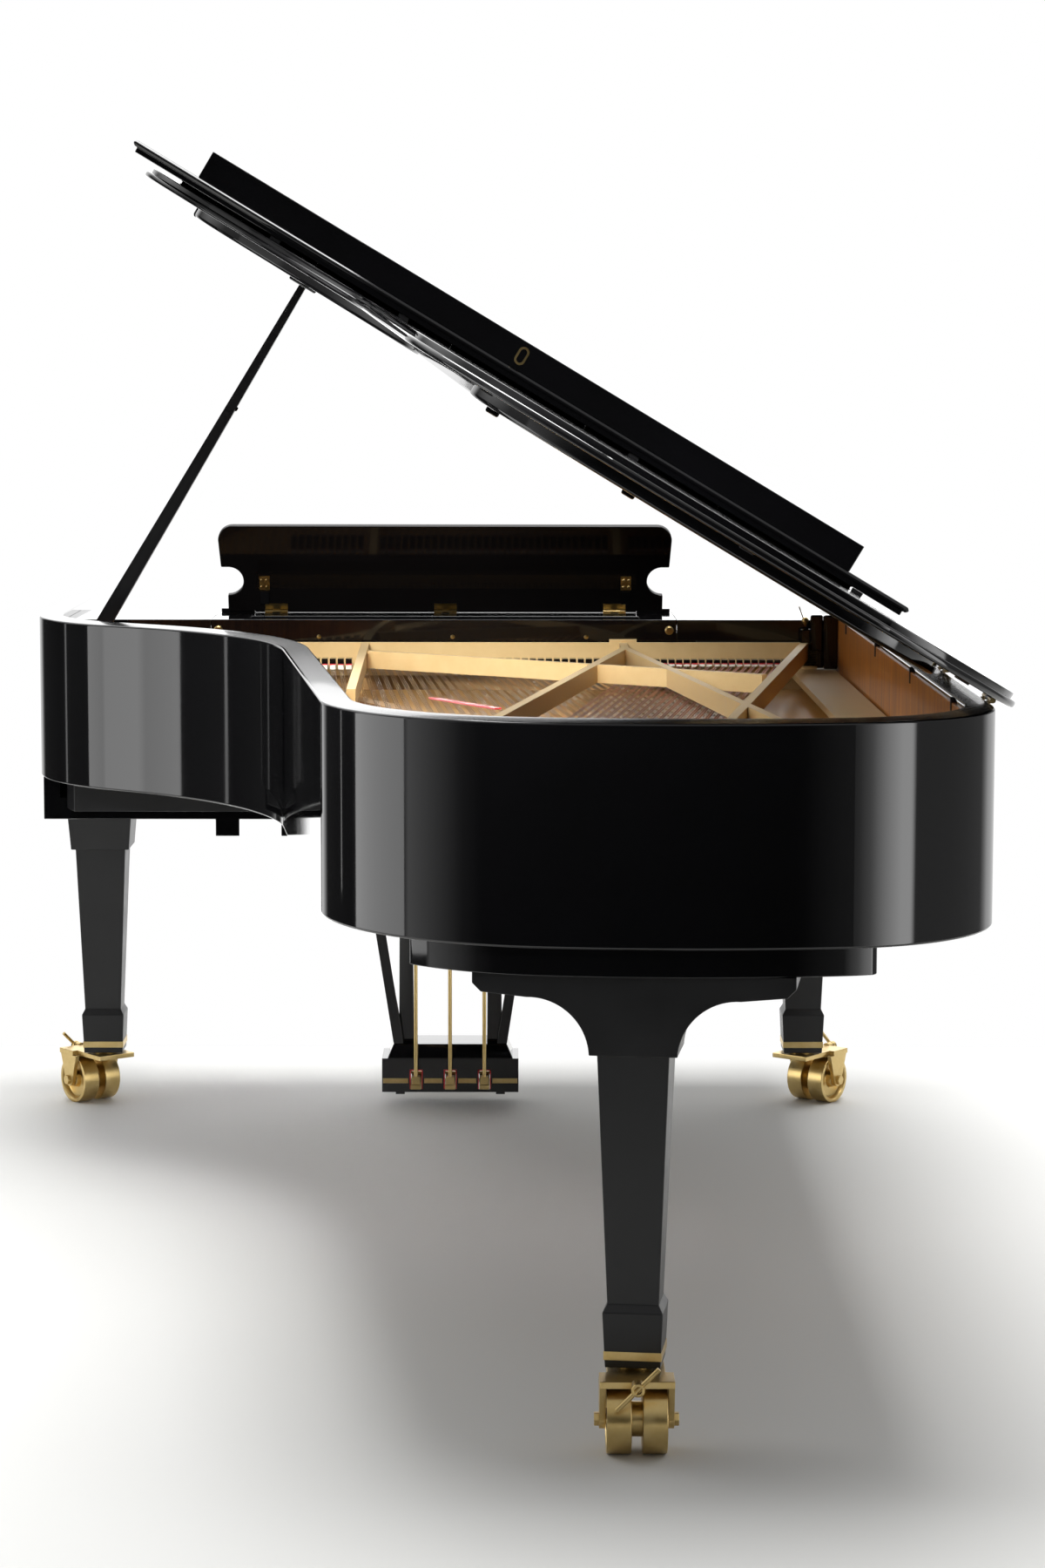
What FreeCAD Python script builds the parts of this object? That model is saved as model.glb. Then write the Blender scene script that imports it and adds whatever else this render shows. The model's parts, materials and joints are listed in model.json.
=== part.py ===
import FreeCAD, Part
import math
import os

# Concert grand piano, lid up on its stick, front flap folded back, music desk raised.
# Millimetres. X to the player's right (treble), Y from the arm fronts to the tail, Z up.
# The origin is on the floor, under the middle of the keyboard, in the plane of the arm fronts.

V = FreeCAD.Vector
UP = V(0, 0, 1)
ALONG_X = V(1, 0, 0)
ALONG_Y = V(0, 1, 0)

# Case
case_width = 1562.0
case_length = 2740.0
rim_top = 1004.0
rim_bottom = 700.0
rim_wall = 44.0
rim_edge = 4.0
shoulder_start = 554.0
shoulder_radius = 0.26 * case_width
shoulder_turn = 52.0
waist_run = 0.052 * case_width
waist_radius = 0.5 * case_width
bent_side_turn = 6.6
tail_treble_radius = 0.237 * case_width
tail_end_radius = 0.77 * case_width
tail_end_turn = 80.0
tail_end_span = 20.0
lining_thickness = 3.0
lining_front = 566.0
lining_top_gap = 5.0
inner_rim_wall = 40.0

# Sounding board, bridges and iron plate
board_level = 856.0
board_thickness = 9.0
board_clear = 1.0
rib_width = 24.0
rib_height = 22.0
rib_pitch = 0.0675 * case_length
rib_count = 9
rib_angle = 38.0
liner_width = 30.0
liner_height = 21.0
bridge_width = 32.0
bridge_height = 28.0
bridge_front = 715.0
# Long bridge in plan: shares of the half width, and of the length behind its front end
bridge_plan = ((0.698, 0), (0.448, 0.077), (0.25, 0.18), (0.096, 0.304), (-0.032, 0.447),
               (-0.218, 0.575), (-0.755, 0.649))
bass_bridge_length = 330.0
bass_bridge_height = 43.7
bass_bridge_turn = 24.0
bass_bridge_x = -0.34 * case_width / 2
bass_bridge_y = case_length - 448.0
web_thickness = 12.0
web_clear = 4.0
plate_flange = 92.0
plate_top = 948.0
plate_front = 352.0
window_front = 580.0
window_back = case_length - 604.0
tail_window_front = case_length - 556.0
tail_window_back = case_length - 320.0
strut_end = case_length - 290.0
treble_strut_end = 0.584 * case_length
cross_front = 773.0
cross_back = 0.474 * case_length
pin_window_front = 374.0
pin_window_back = 536.0
pin_window_end = 60.0
wall_front = 556.0
wall_thickness = 14.0
wall_end_clear = 40.0
strut_thickness = 15.0
strut_clear = 18.0
strut_foot = 28.0
apex_x = -0.4187 * case_width / 2
apex_y = 690.0
saddle_width = 52.0
saddle_height = 6.0

# Strings, pins and felt
string_gap = 5.0
string_size = 2.0
bass_lift = 6.0
bass_count = 20
treble_count = 68
treble_first_x = apex_x - 25.0
treble_last_x = case_width / 2 - 141.0
treble_fan = 8.0
bass_first_x = -treble_last_x
bass_last_x = apex_x - 45.0
bass_lean = 8.4
bass_fan = -0.5
string_inset = 128.0
bass_string_end = case_length - 330.0
treble_string_end = case_length - 580.0
pin_radius = 3.5
pin_depth = 20.0
pin_above = 34.0
pin_rows = 4
pin_row_pitch = 32.0
pin_row_front = 400.0
felt_length = 226.0
felt_width = 14.0
felt_thickness = 3.0
felt_x = -0.045 * case_width / 2
felt_y = 0.509 * case_length
felt_turn = 120.0
damper_width = 8.6
damper_length = 34.0
damper_height = 26.0
damper_shoulder = 8.0
damper_y = 662.0
damper_last_x = 0.4225 * case_width / 2
damper_gap = 0.3

# Keybed, keyboard and action
keybed_inset = 13.0
keybed_front = 10.0
keybed_back = 650.0
keybed_bottom = 619.0
keybed_thickness = 41.0
keybed_cheek_wall = 31.0
trap_block_drop = 32.0
trap_block_depth = 50.0
trap_block_spans = ((293.0, 320.0), (399.0, 444.0))
belly_rail_depth = 54.0
belly_rail_bottom = 640.0
brace_width = 62.0
brace_height = 88.0
# Braces under the board: shares of the half width at the belly rail and at the tail
brace_plan = ((0.42, 0.42), (0.096, -0.10), (-0.30, -0.38), (-0.70, -0.70))
pin_block_thickness = 36.0
pin_block_clear = 6.0
key_slip_thickness = 18.0
key_slip_height = 58.0
key_slip_gap = 2.0
white_count = 52
keyboard_end_room = 170.0
white_pitch = (case_width - 2 * keyboard_end_room) / white_count
key_gap = 1.0
key_front = 40.0
white_head_length = 50.0
key_visible_end = 188.0
key_end = 520.0
key_top = 735.0
key_thickness = 22.0
black_height = 12.0
black_width = 10.0
black_front_gap = 2.6
black_bevel = 9.0
balance_y = 267.0
balance_z = 700.0
balance_rail_gap = 0.5
rail_height = 30.0
rail_depth = 30.0
slide_gap = 0.3
cheek_gap = 5.0
cheek_end = 245.0
cheek_height = 128.0
cheek_front_round = 40.0
bracket_thickness = 10.0
bracket_gap = 3.0
hammer_pivot_y = 470.0
hammer_pivot_z = 812.0
hammer_reach = 150.0
hammer_top = 857.0
hammer_width = 8.4
hammer_shank = 6.0
hammer_head_length = 22.0
hammer_flange_width = 24.0
hammer_flange_gap = 0.5
hammer_heel = 1.0
stretcher_width = 20.0

# Fallboard
fallboard_pivot_y = 222.0
fallboard_pivot_z = 766.0
fallboard_front = 214.0
fallboard_thickness = 22.0
fallboard_bottom = 752.0
fallboard_top = 948.0
fallboard_gap = 4.0
fallboard_pin_radius = 4.0
fallboard_pin_length = 20.0
pin_clear = 0.05

# Music shelf and desk
desk_centre = 14.0
shelf_front = 262.0
shelf_back = 545.0
wing_span = 337.0
shelf_top = 990.0
shelf_thickness = 14.0
shelf_rail_depth = 18.0
shelf_rail_height = 40.0
shelf_frame_width = 70.0
shelf_gap = 0.5
ledge_depth = 20.0
ledge_height = 8.0
knob_radius = 7.0
knob_length = 12.0
desk_hinge_y = 372.0
desk_hinge_gap = 4.0
desk_lean = 19.0
desk_height = 178.0
desk_end_margin = 4.0
desk_thickness = 14.0
desk_corner = 30.0
desk_foot_inset = 16.0
desk_foot_height = 34.0
desk_bite = 31.0
desk_bite_height = 58.0
desk_knuckle_radius = 3.4
desk_hinge_length = 44.0
desk_leaf_thickness = 1.5
desk_leaf_height = 16.0
desk_hinge_margin = 110.0

# Lid, flap, hinges and stick
lid_angle = 31.0
lid_overhang = 22.0
lid_gap = 3.0
lid_lower = 11.0
lid_upper = 9.0
lid_step = 9.0
lid_edge = 4.0
lid_panel = 18.0
lid_panel_inset = 95.0
lid_panel_front = 62.0
flap_line = 530.0
flap_slit = 0.5
flap_front = 80.0
flap_gap = 8.0
lip_height = 52.0
lip_thickness = 18.0
lip_length = case_width - 212.0
hinge_pin_out = 6.0
hinge_pin_drop = 4.3
knuckle_radius = 4.0
hinge_pin_radius = 2.0
hinge_length = 90.0
hinge_leaf = 2.0
hinge_leaf_depth = 46.0
hinge_places = (0.277 * case_length, 0.4735 * case_length, 0.67 * case_length, 0.863 * case_length)
flap_knuckle_radius = 3.6
flap_pin_radius = 1.6
flap_leaf = 1.5
flap_leaf_width = 24.0
flap_hinge_length = case_width - 82.0
flap_knuckles = 5
knuckle_gap = 0.3
bumper_size = 20.0
bumper_clear = 0.3
bumper_shares = (-0.909, -0.307, 0.307, 0.909)
escutcheon_length = 34.0
escutcheon_width = 20.0
escutcheon_wall = 4.0
escutcheon_thickness = 2.5
escutcheon_x = 24.0
prop_x = case_width / 2 - 133.0
prop_y = 735.0
prop_z = 985.0
prop_foot = 28.0
prop_tip = 13.0
prop_depth = 26.0
prop_tip_depth = 15.0
prop_pin_radius = 5.0
prop_knob_radius = 6.0
prop_knob_share = 0.63
prop_ear = 8.0
prop_ear_gap = 2.0
prop_ear_radius = 13.0
prop_block_top = 968.0
prop_block_height = 60.0
prop_block_reach = 22.0
cup_thickness = 24.0
cup_size = 56.0
cup_gap = 0.4

# Legs and tail block
leg_x = case_width / 2 - 84.0
leg_y = 292.0
tail_leg_x = -0.3624 * case_width / 2
tail_leg_y = case_length - 128.0
tail_leg_turn = -7.7
tail_block_inset = 45.0
tail_block_drop = 44.0
tail_block_treble = 0.033 * case_width / 2
tail_block_bass = -0.773 * case_width / 2
tail_block_depth = 330.0
tail_block_round = 14.0
leg_head_top = 130.0
leg_head_bottom = 114.0
leg_head_height = 98.0
leg_neck = 544.0
leg_shaft_top = 98.0
leg_shaft_bottom = 70.0
leg_foot_top = 200.0
leg_foot_shoulder = 188.0
leg_foot_wide = 83.0
leg_foot_narrow = 76.0
leg_bottom = 111.0
leg_head_neck = 521.0
bracket_half = 219.0
bracket_tip = 16.0
bracket_tip_round = 12.0
bracket_shelf_half = 145.0
bracket_shelf_drop = 34.0
bracket_neck_half = 60.0
bracket_depth = 104.0
band_low = 122.0
band_high = 134.0
band_proud = 0.8

# Lyre and pedals
lyre_x = 6.0
lyre_back = 330.0
lyre_depth = 112.0
lyre_half = 136.0
lyre_low = 32.0
lyre_high = 100.0
lyre_foot = 18.0
lyre_foot_height = 6.0
moulding_half = 113.0
moulding_height = 28.0
moulding_flare = 12.0
post_half_gap = 88.0
post_width = 30.0
post_depth = 38.0
post_taper = 6.0
lyre_head_half = 118.0
lyre_head_height = 22.0
lyre_head_depth = 64.0
brace_spread = 74.0
brace_set_back = 95.0
brace_thick = 20.0
pedal_pitch = 68.0
pedal_slot_width = 26.0
pedal_slot_low = 38.0
pedal_slot_high = 78.0
pedal_pivot_y = 262.0
pedal_pivot_z = 60.0
pedal_axle_radius = 4.0
pedal_axle_reach = 8.0
pedal_tip = 96.0
pedal_thickness = 9.0
pedal_width = 20.0
pedal_tip_width = 34.0
pedal_rear = 362.0
pedal_rear_drop = 12.0
rod_radius = 3.8
rod_y = 353.0
rod_top = 604.0
rod_cube = 16.0
rod_gap = 0.3

# Casters
caster_offset = 58.0
wheel_radius = 47.0
wheel_width = 34.0
wheel_half_gap = 7.5
wheel_rim = 7.0
wheel_web = 22.0
axle_radius = 8.0
axle_clear = 0.06
fork_plate_thickness = 10.0
fork_plate_front = 46.0
fork_plate_back = 92.0
fork_half = 51.0
fork_arm = 6.0
fork_arm_wide = 58.0
fork_arm_foot = 13.0
axle_head_radius = 10.0
axle_head_length = 7.0
stem_radius = 10.0
stem_clear = 0.05
stem_reach = 38.0
collar_radius = 24.0
collar_gap = 0.3
brake_boss_radius = 9.0
brake_boss_length = 15.0
brake_bore_radius = 5.0
brake_screw_clear = 0.05
brake_screw_reach = 12.0
brake_bar_radius = 3.4
brake_bar_length = 80.0
brake_bar_gap = 6.0
brake_bar_turn = 45.0
caster_turn_treble = -52.0
caster_turn_bass = 232.0
caster_turn_tail = 90.0

# Values that follow from the sizes above
half_width = case_width / 2
keybed_half = half_width - keybed_inset
shelf_half = half_width - wing_span
desk_half = shelf_half - desk_end_margin
desk_foot_half = desk_half - desk_foot_inset
desk_hinge_spread = desk_half - desk_hinge_margin
pi = math.pi
shoulder_t = math.radians(shoulder_turn)
bent_t = math.radians(bent_side_turn)
tail_t = math.radians(tail_end_turn)
tail_far_t = math.radians(tail_end_turn + tail_end_span)
keybed_top = keybed_bottom + keybed_thickness
board_top = board_level + board_thickness
web_level = board_top + liner_height
web_top = web_level + web_thickness
string_level = web_top + string_gap
strut_bottom = web_top + strut_clear
lid_thickness = lid_lower + lid_upper
lid_bottom = rim_top + lid_gap
lid_top = lid_bottom + lid_thickness
hinge_x = -half_width - hinge_pin_out
hinge_z = lid_bottom - hinge_pin_drop
flap_axis_z = lid_top + flap_gap / 2
keyboard_half = white_pitch * white_count / 2
cheek_inner = keyboard_half + cheek_gap
arm_inner = half_width - rim_wall
desk_hinge_z = shelf_top + desk_hinge_gap
tail_leg_top = rim_bottom - tail_block_drop
axle_z = wheel_radius
fork_plate_top = leg_bottom - fork_plate_thickness / 2
prop_length = ((prop_x - hinge_x) * math.sin(math.radians(lid_angle))
               - (prop_z - hinge_z) * math.cos(math.radians(lid_angle))
               + hinge_pin_drop - cup_thickness - cup_gap)

os.makedirs("parts", exist_ok=True)


def save(name, *shapes):
    """Writes one node: a single solid, or a group of separate solids."""
    solids = []
    for shape in shapes:
        solids.extend(shape.Solids)
    shape = solids[0] if len(solids) == 1 else Part.makeCompound(solids)
    shape.exportStep("parts/" + name + ".step")


def box(x0, x1, y0, y1, z0, z1):
    """A block between two corners."""
    return Part.makeBox(x1 - x0, y1 - y0, z1 - z0, V(x0, y0, z0))


def rod_between(start, end, radius):
    """A round bar from one point to another."""
    return Part.makeCylinder(radius, (end - start).Length, start, end - start)


def prism(points, reach):
    """A flat polygon pushed along a vector."""
    return Part.Face(Part.makePolygon(points + points[:1])).extrude(reach)


def fuse(shapes):
    """One solid out of several that touch or overlap."""
    whole = shapes[0].multiFuse(shapes[1:])
    return whole.removeSplitter()


def polar(centre, radius, angle):
    """A point on a circle in plan."""
    return V(centre.x + radius * math.cos(angle), centre.y + radius * math.sin(angle), 0)


def plan_arc(centre, radius, start, end):
    """An arc in plan, by its middle point."""
    middle = polar(centre, radius, (start + end) / 2)
    return Part.Arc(polar(centre, radius, start), middle, polar(centre, radius, end)).toShape()


def case_centres():
    """Centres of the arcs of the case's plan, and the radius of the spine's tail corner."""
    shoulder = V(half_width - shoulder_radius, shoulder_start, 0)
    run_start = polar(shoulder, shoulder_radius, shoulder_t)
    run_end = run_start + V(-math.sin(shoulder_t), math.cos(shoulder_t), 0) * waist_run
    waist = polar(run_end, waist_radius, shoulder_t)
    bent_start = polar(waist, -waist_radius, bent_t)
    bent_end_y = (case_length - tail_end_radius * (1 - math.sin(tail_t))
                  - tail_treble_radius * (math.sin(tail_t) - math.sin(bent_t)))
    bent_end_x = bent_start.x - (bent_end_y - bent_start.y) * math.tan(bent_t)
    treble = polar(V(bent_end_x, bent_end_y, 0), -tail_treble_radius, bent_t)
    end = polar(polar(treble, tail_treble_radius, tail_t), -tail_end_radius, tail_t)
    end_stop = polar(end, tail_end_radius, tail_far_t)
    bass_radius = (end_stop.x + half_width) / (1 + math.cos(tail_far_t))
    bass = polar(end_stop, -bass_radius, tail_far_t)
    return shoulder, waist, treble, end, bass, bass_radius


def case_edges(inset):
    """The case's plan moved inwards, from the treble front round the tail to the bass front."""
    shoulder, waist, treble, end, bass, bass_radius = case_centres()
    corner = plan_arc(shoulder, shoulder_radius - inset, 0, shoulder_t)
    hollow = plan_arc(waist, waist_radius + inset, pi + shoulder_t, pi + bent_t)
    tail = [plan_arc(treble, tail_treble_radius - inset, bent_t, tail_t),
            plan_arc(end, tail_end_radius - inset, tail_t, tail_far_t),
            plan_arc(bass, bass_radius - inset, tail_far_t, pi)]
    treble_front = V(half_width - inset, 0, 0)
    bass_front = V(inset - half_width, 0, 0)
    run = Part.makeLine(polar(shoulder, shoulder_radius - inset, shoulder_t),
                        polar(waist, -waist_radius - inset, shoulder_t))
    bent = Part.makeLine(polar(waist, -waist_radius - inset, bent_t),
                         polar(treble, tail_treble_radius - inset, bent_t))
    arm = Part.makeLine(treble_front, V(half_width - inset, shoulder_start, 0))
    spine = Part.makeLine(V(inset - half_width, bass.y, 0), bass_front)
    return [arm, corner, run, hollow, bent] + tail + [spine], treble_front, bass_front


def behind(shape, front):
    """What lies on the tail side of a cross line."""
    if front <= 0:
        return shape
    room = shape.BoundBox
    return shape.common(box(room.XMin - 1, room.XMax + 1, front, room.YMax + 1, room.ZMin - 1, room.ZMax + 1))


def region(inset, front, low, high):
    """A slab with the case's plan, moved inwards and cut off at the front."""
    edges, treble_front, bass_front = case_edges(inset)
    edges.append(Part.makeLine(bass_front, treble_front))
    face = Part.Face(Part.Wire(Part.__sortEdges__(edges)))
    face.translate(V(0, 0, low))
    return behind(face.extrude(UP * (high - low)), front)


def ring(outer, inner, front, low, high):
    """A band that follows the case between two insets, open at the front."""
    edges, treble_out, bass_out = case_edges(outer)
    inside, treble_in, bass_in = case_edges(inner)
    edges += inside
    edges += [Part.makeLine(bass_out, bass_in), Part.makeLine(treble_out, treble_in)]
    face = Part.Face(Part.Wire(Part.__sortEdges__(edges)))
    face.translate(V(0, 0, low))
    return behind(face.extrude(UP * (high - low)), front)


def rectangle(x, y, z, width, depth):
    """A level rectangle about a point, as a wire for a loft."""
    w, d = width / 2, depth / 2
    points = [V(x - w, y - d, z), V(x + w, y - d, z), V(x + w, y + d, z), V(x - w, y + d, z)]
    return Part.makePolygon(points + points[:1])


def many_sided(sides, radius, length, start, along):
    """A straight grip or bolt head with flat sides, about an axis that is level."""
    across = along.cross(UP).normalize()
    corners = []
    for number in range(sides):
        turn = 2 * pi * number / sides
        corners.append(start + across * (radius * math.cos(turn)) + UP * (radius * math.sin(turn)))
    return prism(corners, along * length)


def taper(x, y, low, low_size, high, high_size):
    """A square post whose width changes evenly with height."""
    wires = [rectangle(x, y, low, low_size, low_size), rectangle(x, y, high, high_size, high_size)]
    return Part.makeLoft(wires, True, True)


def strip(start, end, width, low, high):
    """An upright bar between two plan points."""
    run = V(end[0] - start[0], end[1] - start[1], 0)
    side = V(-run.y, run.x, 0).normalize() * (width / 2)
    a, b = V(start[0], start[1], low), V(end[0], end[1], low)
    return prism([a - side, b - side, b + side, a + side], UP * (high - low))


def raise_lid(shape):
    """Turns a piece of the closed lid up to where the stick holds it."""
    lifted = shape.copy()
    lifted.rotate(V(hinge_x, 0, hinge_z), -ALONG_Y, lid_angle)
    return lifted


def fold_flap(shape):
    """Turns a piece of the closed flap over on to the lid, then up with the lid."""
    folded = shape.copy()
    folded.rotate(V(0, flap_line, flap_axis_z), ALONG_X, -180)
    return raise_lid(folded)


def eased(shape, size):
    """Takes the sharpness off the level edges of a slab."""
    edges = [edge for edge in shape.Edges if edge.BoundBox.ZLength < 0.01]
    return shape.makeChamfer(size, edges)


# The case
def build_rim():
    """Bent outer rim: one band with eased upper and lower outer edges, open to the keyboard."""
    whole = eased(region(0, 0, rim_bottom, rim_top), rim_edge)
    return whole.cut(region(rim_wall, 0, rim_bottom, rim_top))


def build_back_frame():
    """Belly rail across the case, and the timber braces that run to the inner rim."""
    rail = box(-arm_inner, arm_inner, keybed_back, keybed_back + belly_rail_depth,
               belly_rail_bottom, board_level)
    rail = rail.common(region(rim_wall, keybed_back, belly_rail_bottom, board_level))
    inside = region(rim_wall + inner_rim_wall, keybed_back + belly_rail_depth,
                    rim_bottom, rim_bottom + brace_height)
    braces = []
    for front, back in brace_plan:
        bar = strip((front * half_width, keybed_back), (back * half_width, case_length), brace_width,
                    rim_bottom, rim_bottom + brace_height)
        braces.append(bar.common(inside))
    return [rail] + braces


def build_ribs():
    """Ribs glued across the underside of the sounding board."""
    front = keybed_back + belly_rail_depth + board_clear
    inside = region(rim_wall + inner_rim_wall + board_clear, front,
                    board_level - rib_height, board_level)
    ribs = []
    lean = math.radians(rib_angle)
    for number in range(rib_count):
        middle_y = front + rib_pitch * (number + 0.6)
        reach = case_width
        start = (-reach * math.cos(lean) - 100, middle_y - reach * math.sin(lean))
        end = (reach * math.cos(lean) - 100, middle_y + reach * math.sin(lean))
        bar = strip(start, end, rib_width, board_level - rib_height, board_level)
        ribs.extend(bar.common(inside).Solids)
    return ribs


def build_bridges():
    """Long bridge that sweeps along the bent side, and the short bass bridge behind its end."""
    middle = Part.BSplineCurve()
    middle.interpolate([V(across * half_width, bridge_front + along * (case_length - bridge_front), board_top)
                        for across, along in bridge_plan])
    sides = []
    for side in (-1, 1):
        points = []
        for share in (0, 0.2, 0.4, 0.6, 0.75, 0.9, 1):
            spot = middle.FirstParameter + share * (middle.LastParameter - middle.FirstParameter)
            aim = middle.tangent(spot)[0]
            points.append(middle.value(spot) + V(-aim.y, aim.x, 0) * (side * bridge_width / 2))
        edge = Part.BSplineCurve()
        edge.interpolate(points)
        sides.append(edge.toShape())
    near, far = sides
    ends = [Part.makeLine(near.firstVertex().Point, far.firstVertex().Point),
            Part.makeLine(near.lastVertex().Point, far.lastVertex().Point)]
    face = Part.Face(Part.Wire(Part.__sortEdges__(sides + ends)))
    bass = box(-bass_bridge_length / 2, bass_bridge_length / 2, -bridge_width / 2, bridge_width / 2,
               0, bass_bridge_height)
    bass.rotate(V(0, 0, 0), UP, -bass_bridge_turn)
    bass.translate(V(bass_bridge_x, bass_bridge_y, board_top))
    return [face.extrude(UP * bridge_height), bass]


def plate_struts():
    """Plan lines of the raised bars, from the front wall towards the hitch plate."""
    back_wall = wall_front + wall_thickness
    apex = (apex_x, apex_y)
    return {"treble": ((0.209 * half_width, back_wall), (0.188 * half_width, treble_strut_end)),
            "left_arm": (apex, (-0.035 * half_width, strut_end)),
            "right_arm": (apex, (-0.709 * half_width, strut_end)),
            "bass": ((-0.86 * half_width, back_wall), (-0.496 * half_width, strut_end)),
            "cross": ((0.19 * half_width, cross_front), (-0.698 * half_width, cross_back)),
            "stub": ((apex_x, back_wall), (apex_x, apex_y + strut_thickness))}


def strut_crossings(y):
    """Where the raised bars cross a line over the strings."""
    places = []
    for start, end in plate_struts().values():
        if start[1] < y < end[1]:
            places.append(start[0] + (end[0] - start[0]) * (y - start[1]) / (end[1] - start[1]))
    return places


def build_iron_plate():
    """Cast plate: web with string windows, front wall, raised bars on feet, and saddle."""
    web = region(rim_wall + lining_thickness + web_clear, plate_front, web_level, web_top)
    window = region(rim_wall + plate_flange, window_front, web_level, web_top)
    limits = [box(-half_width, half_width, window_front, window_back, web_level, web_top),
              box(-half_width, half_width, tail_window_front, tail_window_back, web_level, web_top)]
    pin_window = box(-arm_inner + pin_window_end, arm_inner - pin_window_end,
                     pin_window_front, pin_window_back, web_level, web_top)
    web = web.cut([window.common(limit) for limit in limits] + [pin_window])
    wall_half = arm_inner - wall_end_clear
    pieces = [web, box(-wall_half, wall_half, wall_front, wall_front + wall_thickness, web_level, plate_top)]
    struts = plate_struts()
    for start, end in struts.values():
        pieces.append(strip(start, end, strut_thickness, strut_bottom, plate_top))
    for name in ("treble", "left_arm", "right_arm", "bass"):
        x, y = struts[name][1]
        pieces.append(strip((x, y - strut_foot), (x, y), strut_thickness, web_level, plate_top))
    saddle = box(apex_x - saddle_width / 2, apex_x + saddle_width / 2,
                 wall_front, wall_front + wall_thickness, plate_top, plate_top + saddle_height)
    pieces.append(saddle)
    whole = fuse(pieces)
    return whole.common(region(rim_wall + lining_thickness + web_clear, plate_front, web_level, rim_top))


def lines_of(count, first, last, first_turn, last_turn):
    """Starts and directions of a fan of strings, from the bass end to the treble end."""
    for number in range(count):
        share = number / (count - 1)
        yield first + (last - first) * share, math.radians(first_turn + (last_turn - first_turn) * share)


def build_strings(count, first, last, first_turn, last_turn, level, end_line):
    """One prism for each note's unison strings, from the front wall to the hitch plate."""
    back_wall = wall_front + wall_thickness
    inside = region(string_inset, back_wall, level, level + string_size)
    limit = box(-half_width, half_width, back_wall, end_line, level, level + string_size)
    inside = inside.common(limit)
    strings = []
    for x, turn in lines_of(count, first, last, first_turn, last_turn):
        end = (x + math.sin(turn) * case_length, back_wall + math.cos(turn) * case_length)
        reach = strip((x, back_wall), end, string_size, level, level + string_size).common(inside).BoundBox.YMax
        stop = (x + math.tan(turn) * (reach - back_wall), reach)
        bar = strip((x - math.tan(turn), back_wall - 1), stop, string_size, level, level + string_size)
        strings.append(behind(bar, back_wall))
    return strings


def build_tuning_pins():
    """Square-headed tuning pins in staggered rows, set in the pin block."""
    pins = []
    count = bass_count + treble_count
    for number in range(count):
        share = number / (count - 1)
        x = bass_first_x + (treble_last_x - bass_first_x) * share
        y = pin_row_front + pin_row_pitch * (number % pin_rows)
        pins.append(box(x - pin_radius, x + pin_radius, y - pin_radius, y + pin_radius,
                        web_level - pin_depth, web_level + pin_above))
    return pins


def build_dampers():
    """A felt-footed head over each damped note, clear of the plate's bars."""
    bars = strut_crossings(damper_y)
    dampers = []
    sets = [(bass_count, bass_first_x, bass_last_x, bass_lean + bass_fan, bass_lean, bass_lift),
            (treble_count, treble_first_x, treble_last_x, -treble_fan, 0, 0)]
    for count, first, last, first_turn, last_turn, lift in sets:
        for x, turn in lines_of(count, first, last, first_turn, last_turn):
            x = x + math.tan(turn) * (damper_y - wall_front - wall_thickness)
            near_bar = any(abs(x - bar) < strut_thickness for bar in bars)
            if near_bar or x > damper_last_x or (lift == 0 and x < bass_last_x + 2 * strut_thickness):
                continue
            low = string_level + string_size + lift + damper_gap
            front, back = damper_y - damper_length / 2, damper_y + damper_length / 2
            side = [V(x, front, low), V(x, back, low), V(x, back, low + damper_height),
                    V(x, front + damper_shoulder, low + damper_height),
                    V(x, front, low + damper_height - damper_shoulder)]
            head = prism(side, ALONG_X * damper_width)
            head.translate(ALONG_X * (-damper_width / 2))
            dampers.append(head)
    return dampers


# The keyboard
def build_keybed():
    """Keybed with side walls under the arms and two trap blocks below."""
    slab = box(-keybed_half, keybed_half, keybed_front, keybed_back, keybed_bottom, keybed_top)
    walls = [box(side * keybed_half if side < 0 else keybed_half - keybed_cheek_wall,
                 -keybed_half + keybed_cheek_wall if side < 0 else keybed_half,
                 keybed_front, keybed_back, keybed_top, rim_bottom) for side in (-1, 1)]
    blocks = [box(x0, x1, keybed_back - trap_block_depth, keybed_back,
                  keybed_bottom - trap_block_drop, keybed_bottom) for x0, x1 in trap_block_spans]
    return fuse([slab] + walls + blocks)


def build_cheek(side):
    """Cheek block at one end of the keyboard, with the fallboard's pivot hole."""
    low, high = keybed_top, keybed_top + cheek_height
    front = keybed_front + key_slip_gap + key_slip_thickness + key_slip_gap
    nose = V(0, front + cheek_front_round, high)
    profile = Part.Wire([
        Part.makeLine(V(0, front, low), V(0, cheek_end, low)),
        Part.makeLine(V(0, cheek_end, low), V(0, cheek_end, high)),
        Part.makeLine(V(0, cheek_end, high), nose),
        Part.Arc(nose, V(0, front + cheek_front_round * (1 - math.sqrt(0.5)),
                         high - cheek_front_round * (1 - math.sqrt(0.5))),
                 V(0, front, high - cheek_front_round)).toShape(),
        Part.makeLine(V(0, front, high - cheek_front_round), V(0, front, low))])
    width = arm_inner - slide_gap - cheek_inner
    block = Part.Face(profile).extrude(ALONG_X * width)
    block.translate(ALONG_X * (cheek_inner if side > 0 else -cheek_inner - width))
    hole_start = cheek_inner - 1 if side > 0 else -cheek_inner + 1
    depth = fallboard_pin_length + cheek_gap
    hole = Part.makeCylinder(fallboard_pin_radius + pin_clear, depth,
                             V(hole_start, fallboard_pivot_y, fallboard_pivot_z), ALONG_X * side)
    return block.cut(hole)


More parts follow.
